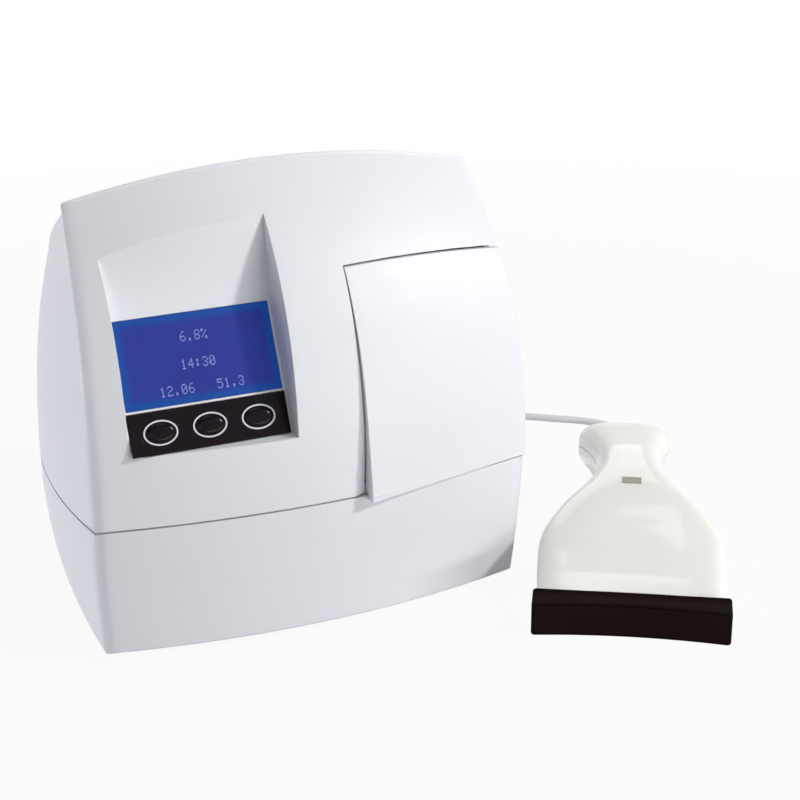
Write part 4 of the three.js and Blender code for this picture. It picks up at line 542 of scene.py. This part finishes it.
def upper_point(column, level):
    """A place on the upper casing's skin: up the wall, round its edge and in over the roof."""
    top = rim(column)
    middle = (CREST_DEPTH + rear_depth(CORNER_HEIGHT)) / 2
    if level <= WALL_ROWS:
        z = SEAM_HEIGHT - SKIN_OVERRUN + (top - SEAM_HEIGHT + SKIN_OVERRUN) * level / WALL_ROWS
        return (*outline(column, z), z)
    x, y = outline(column, top)
    inward = Vector((-x, middle - y)).normalized()
    radius = edge_round(column)
    turn = min(1, (level - WALL_ROWS) / ROUND_ROWS) * math.pi / 2
    reach = radius * (1 - math.cos(turn))
    end_x, end_y = x + inward.x * radius, y + inward.y * radius
    x, y = x + inward.x * reach, y + inward.y * reach
    z = top + (roof_height(end_x, end_y) - top) * math.sin(turn)
    if level > WALL_ROWS + ROUND_ROWS:
        share = (level - WALL_ROWS - ROUND_ROWS) / ROOF_ROWS
        x, y = x * (1 - share), y + (middle - y) * share
        z = roof_height(x, y)
    return x, y, z


def mirrored(place):
    """The same grid on the other side of the casing's middle."""
    def other(a, b):
        x, y, z = place(a, b)
        return x * -1, y, z
    return other


def in_row(place):
    return lambda a, b: row(*place(a, b))


def upper_surface():
    levels = WALL_ROWS + ROUND_ROWS + ROOF_ROWS

    def place(a, b):
        return upper_point(round(a * COLUMNS), round(b * levels))
    grids = [(COLUMNS, levels, in_row(place)), (COLUMNS, levels, in_row(mirrored(place)))]
    return Surface(grids, row(*UPPER_HEART))


def base_surface():
    def place(a, b):
        z = FOOT_HEIGHT + FOOT_EDGE + (SEAM_HEIGHT - FOOT_HEIGHT) * b
        return (*outline(round(a * COLUMNS), z), z)
    grids = [(COLUMNS, BASE_ROWS, in_row(place)), (COLUMNS, BASE_ROWS, in_row(mirrored(place)))]
    return Surface(grids, row(*BASE_HEART))


def hood_surface():
    """The recess above the display, which leans back more towards its left side."""
    rise = DISPLAY_FOOT + DISPLAY_HEIGHT
    tilt = math.radians(PANEL_TILT)

    def place(a, b):
        x = RECESS_CENTRE + RECESS_WIDTH * (a - 0.5)
        hood = math.radians(HOOD_RIGHT + (HOOD_LEFT - HOOD_RIGHT) * (1 - a) ** 2)
        knee = PANEL_FOOT_Y + rise * math.sin(tilt)
        up = RECESS_HOOD * b
        return x, knee + up * math.tan(hood), PANEL_FOOT_Z + rise * math.cos(tilt) + up
    return Surface([(*HOOD_GRID, in_row(place))], row(*HOOD_HEART))


def lid_surface():
    def top(x):
        share = (x - LID_LEFT_TOP) / (CASE_WIDTH / 2 - LID_LEFT_TOP)
        return LID_TOP_LEFT + (LID_TOP_RIGHT - LID_TOP_LEFT) * share + 4 * LID_ARCH * share * (1 - share)

    def bulge(across, up):
        return LID_PROUD * (1 - up ** 4) + LID_PULL * (1 - across) ** 2 * (1 - up) ** 2

    def skin(a, b):
        left = LID_LEFT_FOOT + (LID_LEFT_TOP - LID_LEFT_FOOT) * b
        high = top(left + (CASE_WIDTH / 2 - left) * a)
        z = LID_FOOT + (high - LID_FOOT) * b
        x = left + (half_width(z) + LID_PROUD - left) * a
        return x, front_depth(x, z) - bulge(a, b), z

    def pull(a, b):
        foot = LID_FOOT - LID_HANG * (1 - a) ** 2
        z = foot + (LID_FOOT + LID_WALL - foot) * b
        x = LID_LEFT_FOOT + (half_width(z) + LID_PROUD - LID_LEFT_FOOT) * a
        up = b * LID_WALL / (LID_TOP_LEFT - LID_FOOT)
        return x, front_depth(x, z) - bulge(a, up), z
    grids = [(*LID_GRID, in_row(skin)), (LID_GRID[0], LID_FOOT_ROWS, in_row(pull))]
    return Surface(grids, row(*LID_HEART))


def along_scanner(shares, station):
    """A share of the scanner's size at a station, on a smooth line through the given ones."""
    x = min(1, max(0, station / SCANNER_LENGTH))
    k = 0
    while k < len(STATION_SHARES) - 2 and x > STATION_SHARES[k + 1]:
        k += 1
    t = (x - STATION_SHARES[k]) / (STATION_SHARES[k + 1] - STATION_SHARES[k])
    p, a, b, q = (shares[max(0, k - 1)], shares[k], shares[k + 1], shares[min(len(shares) - 1, k + 2)])
    return 0.5 * (2 * a + (b - p) * t + (2 * p - 5 * a + 4 * b - q) * t * t
                  + (3 * a - p - 3 * b + q) * t ** 3)


def scanner_surface(upward):
    """The housing's skin above or below its parting line."""
    def place(a, b):
        station = NOSE_LENGTH + (SCANNER_LENGTH - NOSE_LENGTH) * b
        half = MOUTH_WIDTH / 2 * along_scanner(WIDTH_SHARES, station)
        top = ARCH_HEIGHT * along_scanner(TOP_SHARES, station)
        bottom = max(TABLE_GAP, ARCH_HEIGHT * along_scanner(BOTTOM_SHARES, station))
        parting = bottom + (top - bottom) * PARTING_SHARE
        turn = math.pi * a
        across, rise = math.cos(turn), math.sin(turn)
        x = -SCANNER_BEND * (station / SCANNER_LENGTH) ** 2
        x += half * math.copysign(abs(across) ** SECTION_POWER, across)
        z = parting + ((top if upward else bottom) - parting) * rise ** SECTION_POWER
        return on_scanner(x, station, z)
    return Surface([(*HOUSING_GRID, place)], on_scanner(*HOUSING_HEART))


# Fine meshes of the CAD nodes: the longest edge, how far the facets may lie off their surface and how
# far they may turn from it, in millimetres and degrees
SKIN_EDGE, SKIN_REACH, SKIN_TURN, LID_EDGE = 3.5, 0.9, 16, 2.5
HOUSING_EDGE, HOUSING_REACH, HOUSING_TURN, LAYING_PASSES = 2.2, 1.6, 34, 3

# The turn in degrees up to which an edge is shaded round, and the steps in a metre that places are
# rounded to before those that meet are joined
SKIN_SPREAD, NOSE_SPREAD, KEY_SPREAD, PLAIN_SPREAD, WELD = 24, 40, 34, 32, 1e6

# Where the finger scoop's shallow end lies
SCOOP_LEFT, SCOOP_RIGHT, SCOOP_TOP, SCOOP_DEPTH = 9, 18.6, 98, 20


def triangles(mesh):
    """A CAD mesh's places, with those that meet made one, and its triangles by their numbers."""
    places, corners = np.empty(len(mesh.vertices) * 3), np.empty(len(mesh.loops), np.int32)
    mesh.vertices.foreach_get("co", places)
    mesh.loops.foreach_get("vertex_index", corners)
    places = places.reshape(-1, 3)
    keys = np.round(places * WELD).astype(np.int64)
    _, first, inverse = np.unique(keys, axis=0, return_index=True, return_inverse=True)
    return places[first], inverse.reshape(-1)[corners].reshape(-1, 3)


def face_normals(places, faces):
    flat = np.cross(places[faces[:, 1]] - places[faces[:, 0]], places[faces[:, 2]] - places[faces[:, 0]])
    return flat, unit(flat)


def corner_normals(places, faces, spread, labels=None):
    """Normals of the corners, each the mean of the faces round it that turn by less than the spread."""
    flat, straight = face_normals(places, faces)
    labels = np.zeros(len(faces)) if labels is None else labels
    corner = faces.reshape(-1)
    owner = np.repeat(np.arange(len(faces)), 3)
    order = np.argsort(corner, kind="stable")
    vertex, face = corner[order], owner[order]
    total = flat[face].copy()
    limit = math.cos(math.radians(spread))
    for step in range(1, int(np.bincount(corner).max())):
        first, second = face[step:], face[:-step]
        near = (vertex[step:] == vertex[:-step]) & (labels[first] == labels[second])
        near &= (straight[first] * straight[second]).sum(1) > limit
        total[step:][near] += flat[second[near]]
        total[:-step][near] += flat[first[near]]
    normals = np.empty_like(total)
    normals[order] = total
    return unit(normals)


def split_long(places, faces, labels, limit):
    """Halves every edge of a labelled face that is longer than the limit, until none is left."""
    while True:
        ends = np.sort(faces[:, [0, 1, 1, 2, 2, 0]].reshape(-1, 2), axis=1)
        edges, inverse = np.unique(ends, axis=0, return_inverse=True)
        inverse = inverse.reshape(-1)
        wanted = np.zeros(len(edges), bool)
        wanted[inverse[np.repeat(labels >= 0, 3)]] = True
        cut = wanted & (np.linalg.norm(places[edges[:, 0]] - places[edges[:, 1]], axis=1) > limit)
        if not cut.any():
            return places, faces, labels
        number = np.full(len(edges), -1)
        number[cut] = len(places) + np.arange(cut.sum())
        middles = number[inverse].reshape(-1, 3)
        places = np.concatenate([places, (places[edges[cut, 0]] + places[edges[cut, 1]]) / 2])
        count = (middles >= 0).sum(1)
        made = [(faces[count == 0], labels[count == 0])]
        whole = count == 3
        (a, b, c), (ab, bc, ca) = faces[whole].T, middles[whole].T
        for turn in ((a, ab, ca), (ab, b, bc), (ca, bc, c), (ab, bc, ca)):
            made.append((np.stack(turn, 1), labels[whole]))
        for roll in range(3):
            f, m = np.roll(faces, -roll, axis=1), np.roll(middles, -roll, axis=1)
            one = (count == 1) & (m[:, 0] >= 0)
            (a, b, c), ab = f[one].T, m[one, 0]
            made += [(np.stack((a, ab, c), 1), labels[one]), (np.stack((ab, b, c), 1), labels[one])]
            two = (count == 2) & (m[:, 2] < 0)
            (a, b, c), ab, bc = f[two].T, m[two, 0], m[two, 1]
            for turn in ((ab, b, bc), (a, ab, bc), (a, bc, c)):
                made.append((np.stack(turn, 1), labels[two]))
        faces = np.concatenate([m[0] for m in made])
        labels = np.concatenate([m[1] for m in made])


def shade(mesh, normals):
    """Shades a mesh smooth by the normals of its corners."""
    mesh.polygons.foreach_set("use_smooth", np.ones(len(mesh.polygons), bool))
    mesh.normals_split_custom_set(normals.tolist())


def new_piece(name, places, faces, normals=None):
    """An object made of places and faces, shaded smooth where normals of its corners are given."""
    mesh = bpy.data.meshes.new(name)
    mesh.from_pydata(np.asarray(places).tolist(), [], np.asarray(faces).tolist())
    if normals is not None:
        shade(mesh, normals)
        mesh.update()
    return bpy.data.objects.new(name, mesh)


def refined(node, name, surfaces, limit=SKIN_EDGE, reach=SKIN_REACH, spread=SKIN_TURN, keep_off=None):
    """A finer copy of a node, with the facets that stand for a smooth surface split and laid on it."""
    places, faces = triangles(nodes[node].data)
    whole = (faces[:, 0] != faces[:, 1]) & (faces[:, 1] != faces[:, 2]) & (faces[:, 2] != faces[:, 0])
    faces = faces[whole]
    _, straight = face_normals(places, faces)
    labels = np.full(len(faces), -1)
    centres = places[faces].mean(1)
    for number, surface in enumerate(surfaces):
        near = surface.nearest(places)[2] < reach * MM
        _, normal, away = surface.nearest(centres)
        fits = near[faces].all(1) & (away < reach * MM) & (labels < 0)
        fits &= (normal * straight).sum(1) > math.cos(math.radians(spread))
        if keep_off:
            fits &= ~keep_off(centres)
        labels[fits] = number
    places, faces, labels = split_long(places, faces, labels, limit * MM)
    used = [np.unique(faces[labels == n]) for n in range(len(surfaces))]
    for _ in range(LAYING_PASSES if len(surfaces) > 1 else 1):
        for surface, which in zip(surfaces, used):
            if len(which):
                places[which] = surface.nearest(places[which])[0]
    normals = corner_normals(places, faces, SKIN_SPREAD, labels).reshape(-1, 3, 3)
    for number, surface in enumerate(surfaces):
        if len(used[number]):
            smooth = np.zeros_like(places)
            smooth[used[number]] = surface.nearest(places[used[number]])[1]
            normals[labels == number] = smooth[faces[labels == number]]
    made = new_piece(name, places, faces, normals.reshape(-1, 3))
    linked(made, slots[node], nodes[node]["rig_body"])
    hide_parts(node)


def in_scoop(centres):
    """True where the finger scoop lies, whose shallow end is close to the skin."""
    x, y, z = ((centres - np.array(shift)) / MM).T
    return (x > SCOOP_LEFT) & (x < SCOOP_RIGHT) & (z < SCOOP_TOP) & (y < SCOOP_DEPTH)


refined("upper_casing", "casing_upper_skin", [upper_surface(), hood_surface()], keep_off=in_scoop)
refined("base_tray", "casing_base_skin", [base_surface()])
refined("lid", "lid_skin", [lid_surface()], LID_EDGE)
for shell, upward in (("top", True), ("bottom", False)):
    refined(f"scanner_{shell}_shell", f"scanner_{shell}_skin", [scanner_surface(upward)],
            HOUSING_EDGE, HOUSING_REACH, HOUSING_TURN)

# The scanner's nose, which carries on the housing's own section, hollowed along its front, and its
# rounded front edge as insets and the depths behind the front that go with them
NOSE_HALF, NOSE_HOLLOW, NOSE_BACK, NOSE_CORNER, NOSE_STEPS, NOSE_ROWS = 44.3, 3.4, 12, 1.6, 144, 8
NOSE_EDGE = [(1.2, 0), (0.55, 0.2), (0.15, 0.6), (0, 1.2)]
PANE_HALF, PANE_HEIGHT, PANE_PROUD, PANE_COLUMNS = 37, 9, 0.03, 40


def nose_point(turn, back, inset):
    """A place on the nose's skin, at a turn round its section and a depth behind its front."""
    middle = ARCH_HEIGHT * along_scanner(TOP_SHARES, (NOSE_BACK + back) / 2) / 2
    half = NOSE_HALF - inset
    x = half * math.cos(turn)
    over = max(0, abs(x) - half + NOSE_CORNER)
    drop = NOSE_CORNER - math.sqrt(NOSE_CORNER ** 2 - over ** 2)
    z = middle + math.copysign(middle - TABLE_GAP - inset - drop, math.sin(turn))
    return x, z, NOSE_HOLLOW * (1 - (x / NOSE_HALF) ** 2)


def scanner_nose():
    """The nose as rings from its front edge to its back, closed by a grid at either end."""
    steps = NOSE_STEPS
    rings = [*NOSE_EDGE, (0, NOSE_BACK / 2), (0, NOSE_BACK)]
    places, faces = [], []
    for inset, back in rings:
        for i in range(steps):
            x, z, hollow = nose_point(math.tau * (i + 0.5) / steps, back, inset)
            places.append(on_scanner(x, back + hollow * (1 - back / NOSE_BACK), z))
    for r in range(len(rings) - 1):
        for i in range(steps):
            a, b = r * steps + i, r * steps + (i + 1) % steps
            faces += [(a, b + steps, b), (a, a + steps, b + steps)]
    half = steps // 2
    for ring, flip in ((0, False), (len(rings) - 1, True)):
        grid = []
        for i in range(half):
            upper, lower = ring * steps + i, ring * steps + steps - 1 - i
            line = [upper]
            for r in range(1, NOSE_ROWS):
                line.append(len(places))
                places.append(places[upper].lerp(places[lower], r / NOSE_ROWS))
            grid.append(line + [lower])
        for first, second in zip(grid, grid[1:]):
            for a, b, c, d in zip(first, first[1:], second[1:], second):
                faces += [(a, c, b), (a, d, c)] if flip else [(a, b, c), (a, c, d)]
    places, faces = np.array(places), np.array(faces)
    made = new_piece("scanner_nose_bar", places, faces, corner_normals(places, faces, NOSE_SPREAD))
    linked(made, "nose_black", nodes["scanner_nose"]["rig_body"])
    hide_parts("scanner_nose")


def scan_pane():
    """The window in the nose's hollow front, flush with it."""
    columns, middle = PANE_COLUMNS, ARCH_HEIGHT * along_scanner(TOP_SHARES, NOSE_BACK / 2) / 2
    places, faces = [], []
    for depth in (-PANE_PROUD, PANE_PROUD * 2):
        for i in range(columns + 1):
            x = PANE_HALF * (2 * i / columns - 1)
            y = NOSE_HOLLOW * (1 - (x / NOSE_HALF) ** 2) + depth
            for z in (middle - PANE_HEIGHT / 2, middle + PANE_HEIGHT / 2):
                places.append(on_scanner(x, y, z))
    back = 2 * (columns + 1)
    for i in range(columns):
        a = 2 * i
        faces += [(a, a + 2, a + 3, a + 1), (back + a + 1, back + a + 3, back + a + 2, back + a),
                  (a + 1, a + 3, back + a + 3, back + a + 1), (a + 2, a, back + a, back + a + 2)]
    last = 2 * columns
    faces += [(0, 1, back + 1, back), (last + 1, last, back + last, back + last + 1)]
    made = linked(new_piece("scan_pane", places, faces), "scan_red", nodes["scanner_window"]["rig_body"])
    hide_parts("scanner_window")


scanner_nose()
scan_pane()

# Pieces drawn on the display and key panel
panel_place = Matrix.Translation(row(RECESS_CENTRE, PANEL_FOOT_Y, PANEL_FOOT_Z)) @ Matrix.Rotation(
    math.pi / 2 - math.radians(PANEL_TILT), 4, "X")


def on_panel(x, y, z):
    """A place in the panel's own millimetres: X along it, Y up its slope, Z out of it."""
    return panel_place @ (Vector((x, y, z)) * MM)


def oval(side, width, height, z, steps):
    """Places round an oval about a key's middle."""
    turns = (math.tau * i / steps for i in range(steps))
    return [on_panel(KEY_SPACING * side + width / 2 * math.cos(a), KEY_MIDDLE + height / 2 * math.sin(a), z)
            for a in turns]


def key_cap(side, name):
    """A domed oval key, finer than the CAD node that it stands for."""
    steps, foot = KEY_STEPS, KEY_FOOT - KEY_OVERLAP
    levels = [(FLANGE_SHARE, -KEY_SINK), (FLANGE_SHARE, -FLANGE_SINK), (1, -FLANGE_SINK), (1, foot)]
    levels += [(math.cos(a) ** DOME_POWER, foot + (KEY_TOP - foot) * math.sin(a))
               for a in (math.pi / 2 * k / DOME_ROWS for k in range(1, DOME_ROWS))]
    places, faces = [], []
    for share, z in levels:
        places += oval(side, KEY_WIDTH * share, KEY_HEIGHT * share, z, steps)
    for r in range(len(levels) - 1):
        for i in range(steps):
            a, b = r * steps + i, r * steps + (i + 1) % steps
            faces += [(a, b, b + steps), (a, b + steps, a + steps)]
    for ring, z in ((0, -KEY_SINK), (len(levels) - 1, KEY_TOP)):
        places.append(on_panel(KEY_SPACING * side, KEY_MIDDLE, z))
        for i in range(steps):
            a, b = ring * steps + i, ring * steps + (i + 1) % steps
            faces.append((b, a, len(places) - 1) if ring == 0 else (a, b, len(places) - 1))
    places, faces = np.array(places), np.array(faces)
    made = new_piece(name + "_cap", places, faces, corner_normals(places, faces, KEY_SPREAD))
    linked(made, "key_black", nodes[name]["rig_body"])
    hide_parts(name)


def oval_band(name, side, outside, inside, top, slot):
    """A flat oval band round a key, from its outer and inner width and height."""
    section = [(outside, RING_FOOT), (outside, top), (inside, top), (inside, RING_FOOT)]
    steps, count = RING_STEPS, RING_STEPS * len(section)
    places, faces = [], []
    for r, (size, z) in enumerate(section):
        places += oval(side, *size, z, steps)
        for i in range(steps):
            a, b = r * steps + i, r * steps + (i + 1) % steps
            faces.append((a, b, (b + steps) % count, (a + steps) % count))
    return linked(new_piece(name, places, faces), slot, "casing")


for side, name in ((-1, "left"), (0, "middle"), (1, "right")):
    key_cap(side, "key_" + name)
    ring = oval_band("bright_ring_" + name, side, RING_OUTSIDE, RING_INSIDE, RING_TOP, "bright_trim")
    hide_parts("key_ring_" + name)
    oval_band("ring_seat_" + name, side, GROOVE, RING_OUTSIDE, KEY_FOOT, "key_black")

# Dot patterns of plain figures, seven rows of five dots each
FIGURES = {
    "0": "01110 10001 10011 10101 11001 10001 01110", "1": "00100 01100 00100 00100 00100 00100 01110",
    "2": "01110 10001 00001 00110 01000 10000 11111", "3": "01110 10001 00001 00110 00001 10001 01110",
    "4": "00010 00110 01010 10010 11111 00010 00010", "5": "11111 10000 11110 00001 00001 10001 01110",
    "6": "00110 01000 10000 11110 10001 10001 01110", "8": "01110 10001 10001 01110 10001 10001 01110",
    ".": "00000 00000 00000 00000 00000 01100 01100", ":": "00000 01100 01100 00000 01100 01100 00000",
    "%": "11000 11001 00010 00100 01000 10011 00011", " ": "00000 00000 00000 00000 00000 00000 00000",
}
DOT_WIDTH, DOT_HEIGHT, DOT_GAP, DOT_FOOT, DOT_TOP, FIGURE_STEP = 0.5, 0.62, 0.08, 0.01, 0.05, 3.2
DOT_FACES = [(3, 2, 1, 0), (4, 5, 6, 7), (0, 1, 5, 4), (1, 2, 6, 5), (2, 3, 7, 6), (3, 0, 4, 7)]

# What the display shows, and how far up the panel each line's top is
DISPLAY_LINES = {"6.8%": 50.2, "14:30": 38.4, "12.06   51.3": 28}


def lit_dots(text, height):
    """The top left places of the dots that make up a line of figures, centred on the display."""
    start = -len(text) * FIGURE_STEP / 2
    for k, sign in enumerate(text):
        for r, line in enumerate(FIGURES[sign].split()):
            for c, dot in enumerate(line):
                if dot == "1":
                    yield start + k * FIGURE_STEP + c * DOT_WIDTH, height - r * DOT_HEIGHT


def display_marks():
    """Lines of plain figures just proud of the display window."""
    places, faces = [], []
    for text, height in DISPLAY_LINES.items():
        for left, top in lit_dots(text, height):
            right, low = left + DOT_WIDTH - DOT_GAP, top - DOT_HEIGHT + DOT_GAP
            corners = ((left, low), (right, low), (right, top), (left, top))
            faces += [tuple(len(places) + n for n in face) for face in DOT_FACES]
            for z in (WINDOW_PROUD + DOT_FOOT, WINDOW_PROUD + DOT_TOP):
                places += [on_panel(x, y, z) for x, y in corners]
    made = linked(new_piece("display_marks", places, faces), "display_blue", "casing")
    made.data.materials[0] = figures_finish


display_marks()

# Every other CAD node keeps its shape and gets its finish, with rounded forms shaded smooth
for name, node in nodes.items():
    node.data.materials.clear()
    node.data.materials.append(finishes[slots[name]])
    if not node.hide_render:
        shade(node.data, corner_normals(*triangles(node.data), PLAIN_SPREAD))

# Floor and world: half the floor's side, how much of its white it shows near the part, the distances
# in metres between which that grows to all of it, and the world's own light
FLOOR_HALF, FLOOR_GLOW, GLOW_NEAR, GLOW_FAR = 4, 0.93, 0.45, 0.9
WORLD_COLOUR, WORLD_STRENGTH = (0.94, 0.95, 1, 1), 0.05

# The seen world is white up to the first height and falls to a dim top at the second
SKY_HEIGHTS, SKY_DIM = (0.6, 0.75), 0.15

# Each lamp's place, the place that it faces, its size in metres, its power in watts and its colour
WHITE, COOL, PART_MIDDLE = (1, 1, 1), (0.95, 0.96, 1), (-0.03, 0, 0.1)
LAMPS = {
    "key_light": ((1, -0.86, 0.92), PART_MIDDLE, (0.18, 0.18), 13.6, WHITE),
    "top_light": ((0.1, -0.16, 1.25), (0.1, -0.16, 0), (0.8, 0.8), 4, WHITE),
    "left_fill": ((-0.6, -1.35, 0.55), PART_MIDDLE, (0.6, 0.6), 1.2, WHITE),
    "back_light": ((0.35, 0.9, 1.1), (0.12, -0.05, 0.03), (1, 0.7), 4.4, WHITE),
    "front_fill": ((0.4, -1, 0.05), (0.05, 0, 0.02), (0.7, 0.08), 3.1, WHITE),
    "side_fill": ((-1.2, 0.3, 0.05), PART_MIDDLE, (0.6, 0.3), 9.6, COOL),
}


def background_rays(tree):
    """1 for a ray that shows the background: from the camera, off gloss or through glass."""
    path = tree.nodes.new("ShaderNodeLightPath")
    share = path.outputs["Is Camera Ray"]
    for ray in ("Is Glossy Ray", "Is Transmission Ray"):
        either = tree.nodes.new("ShaderNodeMath")
        either.operation = "MAXIMUM"
        tree.links.new(share, either.inputs[0])
        tree.links.new(path.outputs[ray], either.inputs[1])
        share = either.outputs[0]
    return share


def floor_finish():
    """A pale floor that shows white, and keeps a little of its shadows near the part."""
    made = Finish("floor_white", "d8d8db", 0.9).gloss(3, 0.86, 0.94)
    shine, away = made.add("Emission"), made.add("VectorMath", operation="LENGTH")
    mixer, both = made.add("MixShader"), made.add("Math", operation="MULTIPLY")
    shine.inputs["Color"].default_value = (1, 1, 1, 1)
    made.link(made.place, away.inputs[0])
    made.link(made.ranged(away.outputs["Value"], FLOOR_GLOW, 1, GLOW_NEAR, GLOW_FAR), both.inputs[1])
    made.link(background_rays(made.tree), both.inputs[0])
    made.link(both.outputs[0], mixer.inputs["Fac"])
    made.link(made.shader.outputs[0], mixer.inputs[1])
    made.link(shine.outputs[0], mixer.inputs[2])
    made.link(mixer.outputs[0], made.tree.nodes["Material Output"].inputs["Surface"])
    return made.material


floor_corners = [(FLOOR_HALF * x, FLOOR_HALF * y, 0) for x, y in ((-1, -1), (1, -1), (1, 1), (-1, 1))]
floor = new_piece("floor", floor_corners, [(0, 1, 2, 3)])
bpy.context.scene.collection.objects.link(floor)
floor.data.materials.append(floor_finish())

world = bpy.data.worlds.new("studio")
bpy.context.scene.world = world
world.use_nodes = True
tree = world.node_tree
base = tree.nodes["Background"]
base.inputs["Color"].default_value = WORLD_COLOUR
base.inputs["Strength"].default_value = WORLD_STRENGTH
seen, mixer, direction, height, sky = (tree.nodes.new("ShaderNode" + kind) for kind in (
    "Background", "MixShader", "TexCoord", "SeparateXYZ", "MapRange"))
sky.inputs["From Min"].default_value, sky.inputs["From Max"].default_value = SKY_HEIGHTS
sky.inputs["To Min"].default_value, sky.inputs["To Max"].default_value = 1, SKY_DIM
tree.links.new(direction.outputs["Generated"], height.inputs["Vector"])
tree.links.new(height.outputs["Z"], sky.inputs["Value"])
tree.links.new(sky.outputs["Result"], seen.inputs["Color"])
tree.links.new(background_rays(tree), mixer.inputs["Fac"])
tree.links.new(base.outputs[0], mixer.inputs[1])
tree.links.new(seen.outputs[0], mixer.inputs[2])
tree.links.new(mixer.outputs[0], tree.nodes["World Output"].inputs["Surface"])

for name, (place, target, size, power, colour) in LAMPS.items():
    light = bpy.data.lights.new(name, "AREA")
    light.shape = "RECTANGLE"
    light.size, light.size_y = size
    light.energy, light.color = power, colour
    lamp = bpy.data.objects.new(name, light)
    bpy.context.scene.collection.objects.link(lamp)
    lamp.location = place
    lamp.rotation_euler = (Vector(target) - Vector(place)).to_track_quat("-Z", "Y").to_euler()

bpy.context.scene.view_settings.view_transform = "Standard"
